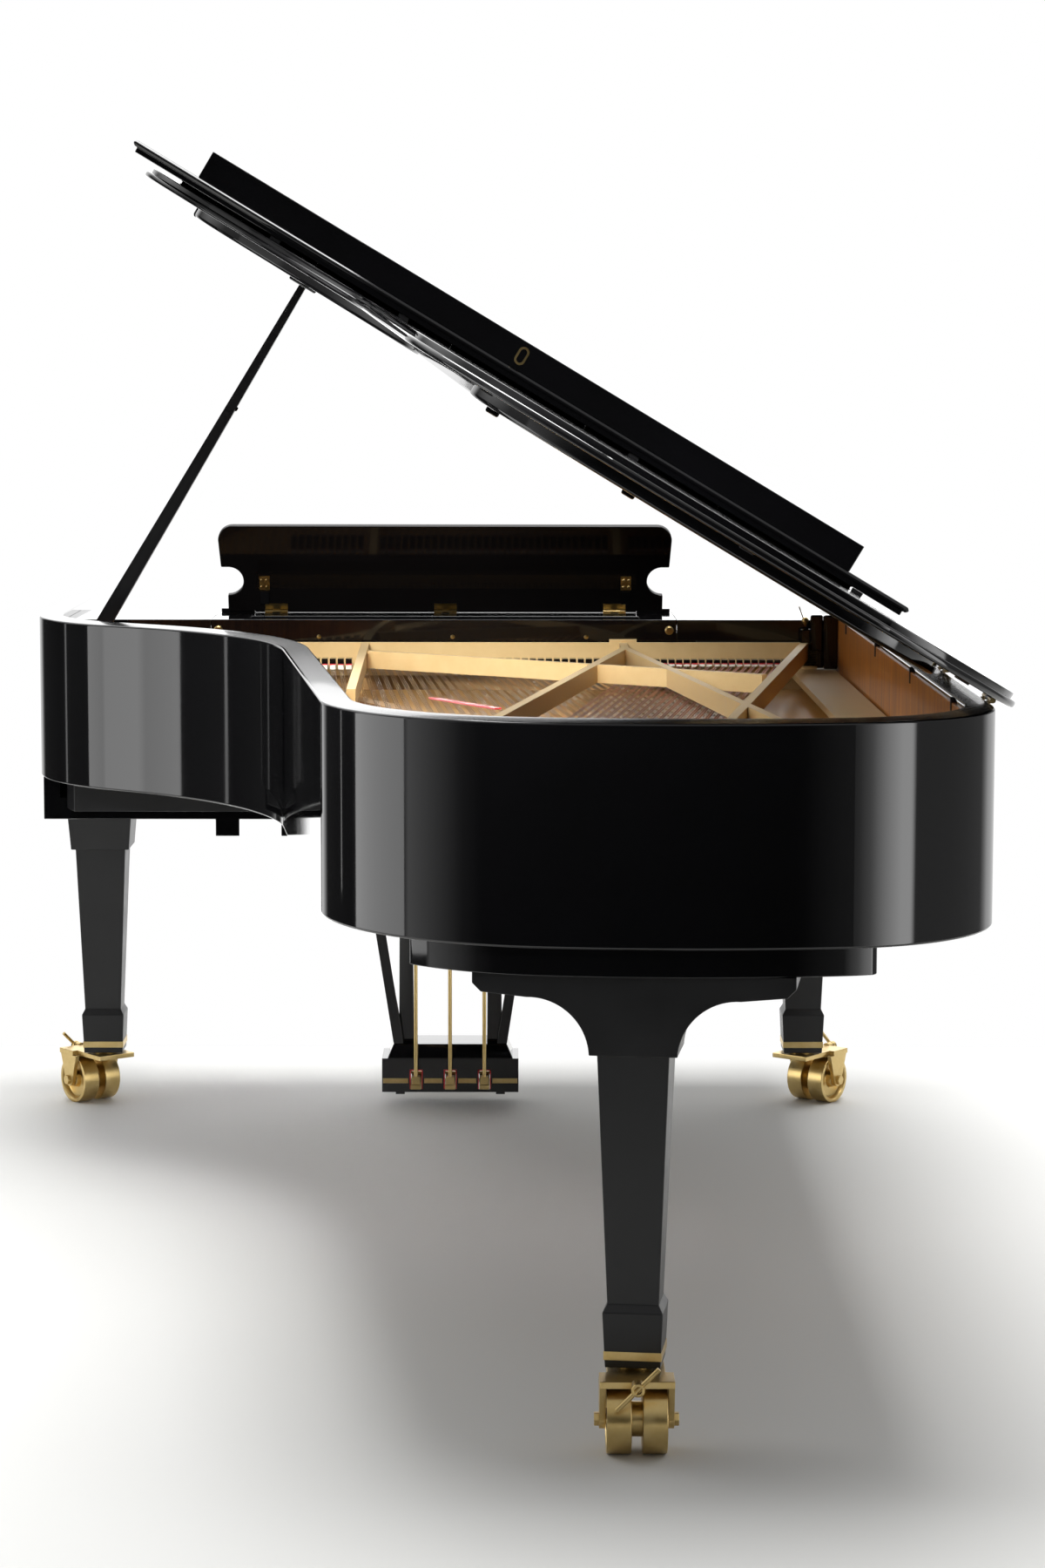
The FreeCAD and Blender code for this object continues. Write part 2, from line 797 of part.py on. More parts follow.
def key_places():
    """Each key from the bottom note up: its colour, the centre of its head and of its tail."""
    white_steps = {0: 0, 2: 1, 4: 2, 5: 3, 7: 4, 9: 5, 11: 6}
    octave_width = 7 * white_pitch
    first_octave = -keyboard_half - 5 * white_pitch
    for note in range(bass_count + treble_count):
        octave, step = divmod(note + 9, 12)
        left = first_octave + octave * octave_width
        tail = left + (step + 0.5) * octave_width / 12
        if step in white_steps:
            yield "white", left + (white_steps[step] + 0.5) * white_pitch, tail
        else:
            yield "black", tail, tail


def build_keys():
    """White keys with full-width heads and narrow tails, and raised black keys."""
    tail_half = (7 * white_pitch / 12 - key_gap) / 2
    head_half = (white_pitch - key_gap) / 2
    low = key_top - key_thickness
    head_end = key_front + white_head_length
    whites, blacks = [], []
    for colour, head, tail in key_places():
        if colour == "white":
            left = max(tail - tail_half, head - head_half)
            right = min(tail + tail_half, head + head_half)
            plan = [V(head - head_half, key_front, low), V(head + head_half, key_front, low),
                    V(head + head_half, head_end, low), V(right, head_end, low), V(right, key_end, low),
                    V(left, key_end, low), V(left, head_end, low), V(head - head_half, head_end, low)]
            whites.append(prism(plan, UP * key_thickness))
        else:
            front = head_end + black_front_gap
            side = [V(tail, front, low), V(tail, key_end, low), V(tail, key_end, key_top),
                    V(tail, key_visible_end, key_top), V(tail, key_visible_end, key_top + black_height),
                    V(tail, front + black_bevel, key_top + black_height), V(tail, front, key_top)]
            key = prism(side, ALONG_X * black_width)
            key.translate(ALONG_X * (-black_width / 2))
            blacks.append(key)
    return whites, blacks


def build_key_frame():
    """Sliding key frame: rails, round-topped balance rail, stretchers, end brackets and hammer rail."""
    low = keybed_top + slide_gap
    end = keyboard_half + bracket_gap + bracket_thickness
    rail_front = key_front + stretcher_width
    rail_back = key_end - stretcher_width
    hammer_rail_top = hammer_pivot_z - hammer_shank / 2 - hammer_flange_gap
    balance_radius = key_top - key_thickness - balance_rail_gap - balance_z
    pieces = [box(-keyboard_half, keyboard_half, rail_front, rail_front + rail_depth, low, low + rail_height),
              box(-keyboard_half, keyboard_half, balance_y - balance_radius, balance_y + balance_radius,
                  low, balance_z),
              Part.makeCylinder(balance_radius, 2 * keyboard_half,
                                V(-keyboard_half, balance_y, balance_z), ALONG_X),
              box(-end, end, rail_back - rail_depth, rail_back, low, low + rail_height),
              box(-end, end, hammer_pivot_y - hammer_flange_width, hammer_pivot_y + hammer_flange_width / 3,
                  hammer_rail_top - rail_height / 2, hammer_rail_top)]
    for share in (-1, -1 / 3, 1 / 3, 1):
        x = share * (keyboard_half - stretcher_width / 2)
        pieces.append(box(x - stretcher_width / 2, x + stretcher_width / 2, rail_front, rail_back,
                          low, low + rail_height * 2 / 3))
    for side in (-1, 1):
        x = side * (end - bracket_thickness / 2)
        pieces.append(box(x - bracket_thickness / 2, x + bracket_thickness / 2, rail_back - 2 * rail_depth,
                          rail_back, low, hammer_rail_top))
    return fuse(pieces)


def build_hammers():
    """Shank and felt head for each note, grouped with the keys that move them."""
    whites, blacks = [], []
    half_shank = hammer_shank / 2
    head_y = hammer_pivot_y + hammer_reach
    half_head = hammer_head_length / 2
    waist = (hammer_top + hammer_pivot_z) / 2
    for colour, head, tail in key_places():
        side = [V(0, hammer_pivot_y - hammer_heel, hammer_pivot_z - half_shank),
                V(0, head_y + half_head / 2, hammer_pivot_z - half_shank),
                V(0, head_y + half_head, waist), V(0, head_y + half_head / 3, hammer_top),
                V(0, head_y - half_head / 3, hammer_top), V(0, head_y - half_head, waist),
                V(0, head_y - half_head / 2, hammer_pivot_z + half_shank),
                V(0, hammer_pivot_y - hammer_heel, hammer_pivot_z + half_shank)]
        hammer = prism(side, ALONG_X * hammer_width)
        hammer.translate(ALONG_X * (tail - hammer_width / 2))
        (whites if colour == "white" else blacks).append(hammer)
    return whites, blacks


def build_fallboard():
    """Open fallboard with a rounded top edge and a pivot pin at each end."""
    back = fallboard_front + fallboard_thickness
    middle = fallboard_front + fallboard_thickness / 2
    shoulder = fallboard_top - fallboard_thickness / 2
    half = cheek_inner - fallboard_gap
    profile = Part.Wire([
        Part.makeLine(V(-half, fallboard_front, fallboard_bottom), V(-half, back, fallboard_bottom)),
        Part.makeLine(V(-half, back, fallboard_bottom), V(-half, back, shoulder)),
        Part.Arc(V(-half, back, shoulder), V(-half, middle, fallboard_top),
                 V(-half, fallboard_front, shoulder)).toShape(),
        Part.makeLine(V(-half, fallboard_front, shoulder), V(-half, fallboard_front, fallboard_bottom))])
    board = Part.Face(profile).extrude(ALONG_X * (2 * half))
    pins = [Part.makeCylinder(fallboard_pin_radius, fallboard_pin_length + fallboard_gap,
                              V(side * (half - fallboard_gap), fallboard_pivot_y, fallboard_pivot_z),
                              ALONG_X * side) for side in (-1, 1)]
    return fuse([board] + pins)


# The music desk
def build_shelf():
    """Sliding shelf frame: open in the middle, with a tail rail and a ledge for the music."""
    x0, x1 = desk_centre - shelf_half, desk_centre + shelf_half
    low = shelf_top - shelf_thickness
    top = box(x0, x1, shelf_front, shelf_back, low, shelf_top)
    opening = box(x0 + shelf_frame_width, x1 - shelf_frame_width, desk_hinge_y + shelf_frame_width,
                  shelf_back - shelf_rail_depth, low, shelf_top)
    rail = box(x0, x1, shelf_back - shelf_rail_depth, shelf_back, shelf_top - shelf_rail_height, shelf_top)
    ledge_back = desk_hinge_y - desk_thickness - ledge_depth
    ledge = box(x0 + shelf_frame_width, x1 - shelf_frame_width, ledge_back - ledge_depth, ledge_back,
                shelf_top, shelf_top + ledge_height)
    return fuse([top.cut(opening), rail, ledge])


def build_wing(side):
    """Fixed wing panel between the shelf and one side of the case."""
    inner = desk_centre + side * (shelf_half + shelf_gap)
    outer = side * (arm_inner - slide_gap)
    x0, x1 = min(inner, outer), max(inner, outer)
    top = box(x0, x1, shelf_front, shelf_back, shelf_top - shelf_thickness, shelf_top)
    rail = box(x0, x1, shelf_back - shelf_rail_depth, shelf_back, shelf_top - shelf_rail_height, shelf_top)
    return fuse([top, rail])


def desk_outline():
    """Outline of the desk panel: rounded upper corners and a rounded bite low in each end."""
    bite_top = desk_foot_height + desk_bite_height
    middle = desk_foot_height + desk_bite_height / 2
    deep = desk_foot_half - desk_bite
    turn = desk_corner * (1 - math.sqrt(0.5))
    right = [V(desk_foot_half, 0, 0), V(desk_foot_half, 0, desk_foot_height),
             V(deep, 0, middle), V(desk_foot_half, 0, bite_top), V(desk_half - 4, 0, bite_top),
             V(desk_half, 0, desk_height - desk_corner),
             V(desk_half - turn, 0, desk_height - turn), V(desk_half - desk_corner, 0, desk_height)]
    left = [V(-point.x, 0, point.z) for point in right]
    edges = [Part.makeLine(left[0], right[0]), Part.makeLine(right[7], left[7])]
    for side in (right, left):
        edges.append(Part.makeLine(side[0], side[1]))
        edges.append(Part.Arc(side[1], side[2], side[3]).toShape())
        edges.append(Part.makeLine(side[3], side[4]))
        edges.append(Part.makeLine(side[4], side[5]))
        edges.append(Part.Arc(side[5], side[6], side[7]).toShape())
    return Part.Wire(Part.__sortEdges__(edges))


def lean_desk(shape):
    """Leans a piece of the upright desk back about its hinge, in its place on the shelf."""
    leaned = shape.copy()
    leaned.rotate(V(0, 0, 0), ALONG_X, -desk_lean)
    leaned.translate(V(desk_centre, desk_hinge_y, desk_hinge_z))
    return leaned


def build_desk():
    """Desk panel in front of its hinge line, leaned back."""
    panel = Part.Face(desk_outline()).extrude(ALONG_Y * -desk_thickness)
    panel.translate(V(0, -desk_knuckle_radius, -desk_hinge_gap / 4))
    return lean_desk(panel)


def desk_hinge_spots():
    """Middles of the desk's butt hinges."""
    return [desk_hinge_spread * step for step in (-1, 0, 1)]


def build_desk_hinges():
    """Brass leaves on the back of the panel, each with the middle knuckle of its hinge."""
    leaves = []
    third = desk_hinge_length / 3
    for x in desk_hinge_spots():
        leaf = box(x - desk_hinge_length / 2, x + desk_hinge_length / 2, -desk_knuckle_radius,
                   -desk_knuckle_radius + desk_leaf_thickness, desk_knuckle_radius + knuckle_gap,
                   desk_leaf_height)
        neck = box(x - third / 2 + knuckle_gap, x + third / 2 - knuckle_gap, -desk_knuckle_radius,
                   -desk_knuckle_radius + desk_leaf_thickness, 0, desk_leaf_height)
        knuckle = Part.makeCylinder(desk_knuckle_radius, third - 2 * knuckle_gap,
                                    V(x - third / 2 + knuckle_gap, 0, 0), ALONG_X)
        bore = Part.makeCylinder(hinge_pin_radius / 2 + pin_clear, desk_hinge_length,
                                 V(x - desk_hinge_length / 2, 0, 0), ALONG_X)
        leaves.append(lean_desk(fuse([leaf, neck, knuckle]).cut(bore)))
    return leaves


def build_shelf_fittings():
    """Fixed leaves and pins of the desk hinges, and a brass knob at each end of the shelf."""
    pieces = []
    third = desk_hinge_length / 3
    for spot in desk_hinge_spots():
        x = desk_centre + spot
        start = x - desk_hinge_length / 2
        leaf_back = desk_hinge_y + desk_leaf_height
        parts = [Part.makeCylinder(hinge_pin_radius / 2, desk_hinge_length,
                                   V(start, desk_hinge_y, desk_hinge_z), ALONG_X)]
        for knuckle_start in (start, start + 2 * third):
            parts.append(Part.makeCylinder(desk_knuckle_radius, third,
                                           V(knuckle_start, desk_hinge_y, desk_hinge_z), ALONG_X))
            parts.append(box(knuckle_start, knuckle_start + third, desk_hinge_y, leaf_back,
                             shelf_top, desk_hinge_z - desk_knuckle_radius + desk_leaf_thickness))
        pieces.append(fuse(parts))
    rail_middle = shelf_top - shelf_rail_height / 2
    for side in (-1, 1):
        x = desk_centre + side * (shelf_half - knob_radius * 2)
        pieces.append(many_sided(12, knob_radius, knob_length, V(x, shelf_back, rail_middle), ALONG_Y))
    return pieces


# The lid
def build_lid():
    """Main lid: two layers with a step between them, and a thinner panel inset under both."""
    front = flap_line + flap_slit
    panel = region(lid_panel_inset, flap_line + lid_panel_front, lid_bottom - lid_panel, lid_bottom)
    lower = eased(region(-lid_overhang, front, lid_bottom, lid_bottom + lid_lower), lid_edge)
    upper = region(lid_step - lid_overhang, front, lid_bottom + lid_lower, lid_top)
    return raise_lid(fuse([panel, lower, upper]))


def build_flap():
    """Front flap in the same two layers, folded back on the main lid."""
    reach = half_width + lid_overhang
    back = flap_line - flap_slit
    lower = eased(box(-reach, reach, flap_front, back, lid_bottom, lid_bottom + lid_lower), lid_edge)
    upper = box(-reach + lid_step, reach - lid_step, flap_front + lid_step, back,
                lid_bottom + lid_lower, lid_top)
    return fold_flap(fuse([lower, upper]))


def build_lip():
    """Upright lip along the flap's free edge, a little shorter than the flap."""
    lip = box(-lip_length / 2, lip_length / 2, flap_front + lid_edge, flap_front + lid_edge + lip_thickness,
              lid_bottom - lip_height, lid_bottom)
    return fold_flap(lip)


def build_escutcheon():
    """Oval brass ring round the lip's lock hole."""
    middle = V(escutcheon_x, flap_front + lid_edge, lid_bottom - lip_height / 2)
    straight = (escutcheon_length - escutcheon_width) / 2

    def oval(radius, depth):
        block = box(middle.x - radius, middle.x + radius, middle.y - depth, middle.y,
                    middle.z - straight, middle.z + straight)
        ends = [Part.makeCylinder(radius, depth, V(middle.x, middle.y, middle.z + side * straight), -ALONG_Y)
                for side in (-1, 1)]
        return fuse([block] + ends)

    outer = oval(escutcheon_width / 2, escutcheon_thickness)
    return fold_flap(outer.cut(oval(escutcheon_width / 2 - escutcheon_wall, escutcheon_thickness)))


def knuckles(axis_point, along, radius, spans):
    """Round knuckles of a hinge between given distances along its pin."""
    return [Part.makeCylinder(radius, end - start, axis_point + along * start, along) for start, end in spans]


def build_lid_hinges():
    """Case leaves with outer knuckles and pins, and lid leaves with bored middle knuckles."""
    case_leaves, lid_leaves = [], []
    third = hinge_length / 3
    inner = -half_width
    for middle in hinge_places:
        start = V(hinge_x, middle - hinge_length / 2, hinge_z)
        pin = Part.makeCylinder(hinge_pin_radius, hinge_length, start, ALONG_Y)
        outer = knuckles(start, ALONG_Y, knuckle_radius, ((0, third), (2 * third, hinge_length)))
        leaf = [box(inner - hinge_leaf, inner, start.y + low, start.y + low + third,
                    hinge_z - hinge_leaf_depth, hinge_z - knuckle_radius / 2) for low in (0, 2 * third)]
        bridge = [box(hinge_x, inner, start.y + low, start.y + low + third,
                      hinge_z - knuckle_radius, hinge_z - knuckle_radius / 2) for low in (0, 2 * third)]
        back = box(inner - hinge_leaf, inner, start.y, start.y + hinge_length,
                   hinge_z - hinge_leaf_depth, hinge_z - 2 * knuckle_radius)
        case_leaves.append(fuse([pin] + outer + leaf + bridge + [back]))
        middle_knuckle = knuckles(start, ALONG_Y, knuckle_radius,
                                  ((third + knuckle_gap, 2 * third - knuckle_gap),))
        plate = box(hinge_x - knuckle_radius, hinge_x + hinge_leaf_depth, start.y + third + knuckle_gap,
                    start.y + 2 * third - knuckle_gap, lid_bottom - hinge_leaf, lid_bottom)
        bore = Part.makeCylinder(hinge_pin_radius + pin_clear, hinge_length, start, ALONG_Y)
        lid_leaves.append(raise_lid(fuse(middle_knuckle + [plate]).cut(bore)))
    return case_leaves, lid_leaves


def build_flap_hinges():
    """Continuous hinge along the flap line: lid leaf with its pin, and bored flap leaf."""
    start = V(-flap_hinge_length / 2, flap_line, flap_axis_z)
    pitch = flap_hinge_length / flap_knuckles
    odd = [(pitch * number, pitch * (number + 1)) for number in range(0, flap_knuckles, 2)]
    even = [(pitch * number + knuckle_gap, pitch * (number + 1) - knuckle_gap)
            for number in range(1, flap_knuckles, 2)]
    pin = Part.makeCylinder(flap_pin_radius, flap_hinge_length, start, ALONG_X)
    lid_plates = [box(start.x + low, start.x + high, flap_line + flap_slit, flap_line + flap_leaf_width,
                      lid_top, lid_top + flap_leaf) for low, high in odd]
    lid_strip = box(start.x, -start.x, flap_line + 2 * flap_knuckle_radius, flap_line + flap_leaf_width,
                    lid_top, lid_top + flap_leaf)
    lid_leaf = fuse([pin, lid_strip] + knuckles(start, ALONG_X, flap_knuckle_radius, odd) + lid_plates)
    flap_plates = [box(start.x + low, start.x + high, flap_line - flap_leaf_width, flap_line - flap_slit,
                       lid_top, lid_top + flap_leaf) for low, high in even]
    flap_strip = box(start.x, -start.x, flap_line - flap_leaf_width, flap_line - 2 * flap_knuckle_radius,
                     lid_top, lid_top + flap_leaf)
    bore = Part.makeCylinder(flap_pin_radius + pin_clear, flap_hinge_length, start, ALONG_X)
    flap_leaf_whole = fuse([flap_strip] + knuckles(start, ALONG_X, flap_knuckle_radius, even) + flap_plates)
    return raise_lid(lid_leaf), fold_flap(flap_leaf_whole.cut(bore))


def build_lid_fittings():
    """Square rubber rests for the folded flap, and pads under the lid's edge."""
    pieces = []
    half = bumper_size / 2
    rest_y = 2 * flap_line - flap_front - 2 * bumper_size
    for share in bumper_shares:
        x = share * half_width
        pieces.append(box(x - half, x + half, rest_y - half, rest_y + half,
                          lid_top, lid_top + flap_gap - bumper_clear))
    pad_line, treble_front, bass_front = case_edges(rim_wall / 2)
    for edge in pad_line[3:8]:
        spot = edge.valueAt((edge.FirstParameter + edge.LastParameter) / 2)
        pieces.append(box(spot.x - half, spot.x + half, spot.y - half, spot.y + half,
                          lid_bottom - lid_gap + bumper_clear, lid_bottom))
    return [raise_lid(piece) for piece in pieces]


def build_cup():
    """Block under the lid that takes the tip of the stick."""
    along = ((prop_x - hinge_x) * math.cos(math.radians(lid_angle))
             + (prop_z - hinge_z) * math.sin(math.radians(lid_angle)))
    x = hinge_x + along
    return raise_lid(box(x - cup_size / 2, x + cup_size / 2, prop_y - cup_size / 2, prop_y + cup_size / 2,
                         lid_bottom - cup_thickness, lid_bottom - lid_panel))


def build_prop():
    """Tapered stick, bored at its foot, with the small knob part of the way up."""
    foot = [V(-prop_foot / 2, -prop_depth / 2, 0), V(prop_foot / 2, -prop_depth / 2, 0),
            V(prop_foot / 2, prop_depth / 2, 0), V(-prop_foot / 2, prop_depth / 2, 0)]
    tip = [V(-prop_tip / 2, -prop_tip_depth / 2, prop_length),
           V(prop_tip / 2, -prop_tip_depth / 2, prop_length),
           V(prop_tip / 2, prop_tip_depth / 2, prop_length), V(-prop_tip / 2, prop_tip_depth / 2, prop_length)]
    shaft = Part.makeLoft([Part.makePolygon(foot + foot[:1]), Part.makePolygon(tip + tip[:1])], True, True)
    heel = Part.makeCylinder(prop_foot / 2, prop_depth, V(0, -prop_depth / 2, 0), ALONG_Y)
    knob = Part.makeCylinder(prop_knob_radius, prop_knob_radius,
                             V(0, prop_tip_depth / 2, prop_length * prop_knob_share), ALONG_Y)
    bore = Part.makeCylinder(prop_pin_radius + pin_clear, prop_depth, V(0, -prop_depth / 2, 0), ALONG_Y)
    stick = fuse([shaft, heel, knob]).cut(bore)
    stick.rotate(V(0, 0, 0), ALONG_Y, -lid_angle)
    stick.translate(V(prop_x, prop_y, prop_z))
    return stick


def build_prop_bracket():
    """Block on the treble side's inner wall with two ears and the stick's pin."""
    half = prop_depth / 2 + prop_ear_gap + prop_ear
    low = prop_block_top - prop_block_height
    block = box(prop_x - prop_block_reach, half_width, prop_y - half, prop_y + half, low, prop_block_top)
    inside = region(rim_wall + lining_thickness + slide_gap, lining_front, low, rim_top)
    pieces = [block.common(inside)]
    for side in (-1, 1):
        face = prop_y + side * (prop_depth / 2 + prop_ear_gap)
        y0, y1 = min(face, face + side * prop_ear), max(face, face + side * prop_ear)
        pieces.append(box(prop_x - prop_ear_radius, prop_x + prop_ear_radius, y0, y1, prop_block_top, prop_z))
        pieces.append(Part.makeCylinder(prop_ear_radius, prop_ear, V(prop_x, y0, prop_z), ALONG_Y))
    pieces.append(Part.makeCylinder(prop_pin_radius, 2 * half, V(prop_x, prop_y - half, prop_z), ALONG_Y))
    return fuse(pieces)


# Legs
def leg_shaft(x, y, top):
    """Tapered shaft and bevelled foot block, bored for the caster's stem."""
    shaft = taper(x, y, leg_foot_shoulder, leg_shaft_bottom, top, leg_shaft_top)
    shoulder = taper(x, y, leg_foot_shoulder, leg_foot_wide, leg_foot_top, leg_shaft_bottom)
    foot = taper(x, y, leg_bottom, leg_foot_narrow, leg_foot_shoulder, leg_foot_wide)
    bore = Part.makeCylinder(stem_radius, stem_reach + 2, V(x, y, leg_bottom), UP)
    return [shaft, shoulder, foot], bore


def build_front_leg(x):
    """Front leg under the keybed, with a tapered head block."""
    pieces, bore = leg_shaft(x, leg_y, leg_head_neck)
    head = taper(x, leg_y, leg_head_neck, leg_head_bottom, keybed_bottom, leg_head_top)
    return fuse(pieces + [head]).cut(bore)


def build_tail_leg():
    """Tail leg with its wide bracket, turned a little to follow the tail."""
    pieces, bore = leg_shaft(0, 0, leg_neck)
    tip_low = tail_leg_top - bracket_tip
    shelf_low = tail_leg_top - bracket_shelf_drop
    turn = bracket_neck_half + (bracket_shelf_half - bracket_neck_half) * (1 - math.sqrt(0.5))
    drop = shelf_low - (shelf_low - leg_neck) * (1 - math.sqrt(0.5))
    right = [V(bracket_half, 0, tail_leg_top), V(bracket_half, 0, tip_low),
             V(bracket_half - bracket_tip_round, 0, tip_low - bracket_tip_round),
             V(bracket_shelf_half, 0, shelf_low), V(turn, 0, drop), V(bracket_neck_half, 0, leg_neck)]
    left = [V(-point.x, 0, point.z) for point in right]
    edges = [Part.makeLine(left[0], right[0]), Part.makeLine(left[5], right[5])]
    for side in (right, left):
        edges += [Part.makeLine(side[0], side[1]), Part.makeLine(side[1], side[2]),
                  Part.makeLine(side[2], side[3]), Part.Arc(side[3], side[4], side[5]).toShape()]
    bracket = Part.Face(Part.Wire(Part.__sortEdges__(edges))).extrude(ALONG_Y * bracket_depth)
    bracket.translate(ALONG_Y * (-bracket_depth / 2))
    leg = fuse(pieces + [bracket]).cut(bore)
    leg.rotate(V(0, 0, 0), UP, tail_leg_turn)
    leg.translate(V(tail_leg_x, tail_leg_y, 0))
    return leg


def leg_band(x, y, turn, leg):
    """Brass band let round a foot block."""
    size = leg_foot_narrow + (leg_foot_wide - leg_foot_narrow) * (band_high - leg_bottom) / (
        leg_foot_shoulder - leg_bottom) + 2 * band_proud
    block = box(-size / 2, size / 2, -size / 2, size / 2, band_low, band_high)
    core = Part.makeCylinder(leg_foot_narrow / 4, band_high - band_low, V(0, 0, band_low), UP)
    block = block.cut(core)
    block.rotate(V(0, 0, 0), UP, turn)
    block.translate(V(x, y, 0))
    return block.cut(leg)


def build_tail_block():
    """Curved block under the tail that carries the tail leg."""
    low = rim_bottom - tail_block_drop
    whole = region(tail_block_inset, shoulder_start, low, rim_bottom)
    part = box(tail_block_bass, tail_block_treble, case_length - tail_block_depth, case_length, low, rim_bottom)
    block = whole.common(part)
    ends = [edge for edge in block.Edges
            if edge.BoundBox.ZLength > tail_block_drop / 2
            and edge.BoundBox.YMax > case_length - tail_block_depth + 1]
    return block.makeFillet(tail_block_round, ends)


# Lyre and pedals
def pedal_places():
    """Middles of the three pedals, from the bass side."""
    return [lyre_x + pedal_pitch * step for step in (-1, 0, 1)]


def build_lyre_box():
    """Pedal box with a slot and axle bores for each pedal, on two small feet."""
    front = lyre_back - lyre_depth
    whole = box(lyre_x - lyre_half, lyre_x + lyre_half, front, lyre_back, lyre_low, lyre_high)
    cuts = []
    for x in pedal_places():
        cuts.append(box(x - pedal_slot_width / 2, x + pedal_slot_width / 2, front, lyre_back,
                        pedal_slot_low, pedal_slot_high))
        reach = pedal_slot_width / 2 + pedal_axle_reach
        cuts.append(Part.makeCylinder(pedal_axle_radius + pin_clear, 2 * reach,
                                      V(x - reach, pedal_pivot_y, pedal_pivot_z), ALONG_X))
    feet = []
    for side in (-1, 1):
        x, y = lyre_x + side * (lyre_half - 2 * lyre_foot), lyre_back - lyre_foot
        feet.append(box(x - lyre_foot / 2, x + lyre_foot / 2, y - lyre_foot / 2, y + lyre_foot / 2,
                        lyre_low - lyre_foot_height, lyre_low))
    return fuse([whole.cut(cuts)] + feet)


def build_lyre_frame():
    """Base moulding, two tapered posts and the head block under the keybed, with two braces."""
    middle = lyre_back - lyre_depth / 2
    low, high = lyre_high, lyre_high + moulding_height
    moulding = Part.makeLoft([rectangle(lyre_x, middle, low, 2 * (moulding_half + moulding_flare), lyre_depth),
                              rectangle(lyre_x, middle, high, 2 * moulding_half, lyre_depth - moulding_flare)],
                             True, True)
    head_low = keybed_bottom - lyre_head_height
    head = box(lyre_x - lyre_head_half, lyre_x + lyre_head_half, middle - lyre_head_depth / 2,
               middle + lyre_head_depth / 2, head_low, keybed_bottom)
    pieces = [moulding, head]
    for side in (-1, 1):
        x = lyre_x + side * post_half_gap
        pieces.append(Part.makeLoft([rectangle(x, middle, high, post_width, post_depth),
                                     rectangle(x, middle, head_low, post_width - post_taper,
                                               post_depth - post_taper)], True, True))
    braces = []
    for side in (-1, 1):
        x = lyre_x + side * (moulding_half - brace_thick / 2)
        foot = rectangle(x, middle + post_depth / 2 + brace_thick, high, brace_thick, brace_thick)
        top = rectangle(x + side * brace_spread, middle + brace_set_back, keybed_bottom,
                        brace_thick, brace_thick)
        braces.append(Part.makeLoft([foot, top], True, True))
    return [fuse(pieces)] + braces


def build_pedal(x):
    """Brass pedal: rounded toe, arm through the box on its axle, and a low heel for the rod."""
    half, toe = pedal_width / 2, pedal_tip_width / 2
    low = pedal_pivot_z - pedal_thickness / 2
    toe_back = pedal_tip + 2 * toe
    arm_end = pedal_pivot_y + pedal_width
    plan = Part.Wire([
        Part.Arc(V(x - toe, pedal_tip + toe, low), V(x, pedal_tip, low),
                 V(x + toe, pedal_tip + toe, low)).toShape(),
        Part.makeLine(V(x + toe, pedal_tip + toe, low), V(x + half, toe_back, low)),
        Part.makeLine(V(x + half, toe_back, low), V(x + half, arm_end, low)),
        Part.makeLine(V(x + half, arm_end, low), V(x - half, arm_end, low)),
        Part.makeLine(V(x - half, arm_end, low), V(x - half, toe_back, low)),
        Part.makeLine(V(x - half, toe_back, low), V(x - toe, pedal_tip + toe, low))])
    front = Part.Face(plan).extrude(UP * pedal_thickness)
    heel_low = low - pedal_rear_drop
    heel = prism([V(x - half, pedal_pivot_y, low), V(x - half, lyre_back - pedal_width, heel_low),
                  V(x - half, pedal_rear, heel_low), V(x - half, pedal_rear, heel_low + pedal_thickness),
                  V(x - half, lyre_back - pedal_width, heel_low + pedal_thickness),
                  V(x - half, pedal_pivot_y, low + pedal_thickness)], ALONG_X * pedal_width)
    reach = pedal_slot_width / 2 + pedal_axle_reach - pin_clear
    axle = Part.makeCylinder(pedal_axle_radius, 2 * reach, V(x - reach, pedal_pivot_y, pedal_pivot_z), ALONG_X)
    return fuse([front, heel, axle])


def build_rod(x):
    """Pedal rod standing in a square shoe on the pedal's heel."""
    shoe_low = pedal_pivot_z + pedal_thickness / 2 - pedal_rear_drop + rod_gap
    shoe = box(x - rod_cube / 2, x + rod_cube / 2, rod_y - rod_cube / 2, rod_y + rod_cube / 2,
               shoe_low, shoe_low + rod_cube)
    rod = Part.makeCylinder(rod_radius, rod_top - shoe_low - rod_cube, V(x, rod_y, shoe_low + rod_cube), UP)
    return fuse([shoe, rod])


# Casters
def place_caster(shape, x, y, turn):
    """Moves a caster piece, drawn trailing along +X, under its leg."""
    placed = shape.copy()
    placed.rotate(V(0, 0, 0), UP, turn)
    placed.translate(V(x, y, 0))
    return placed


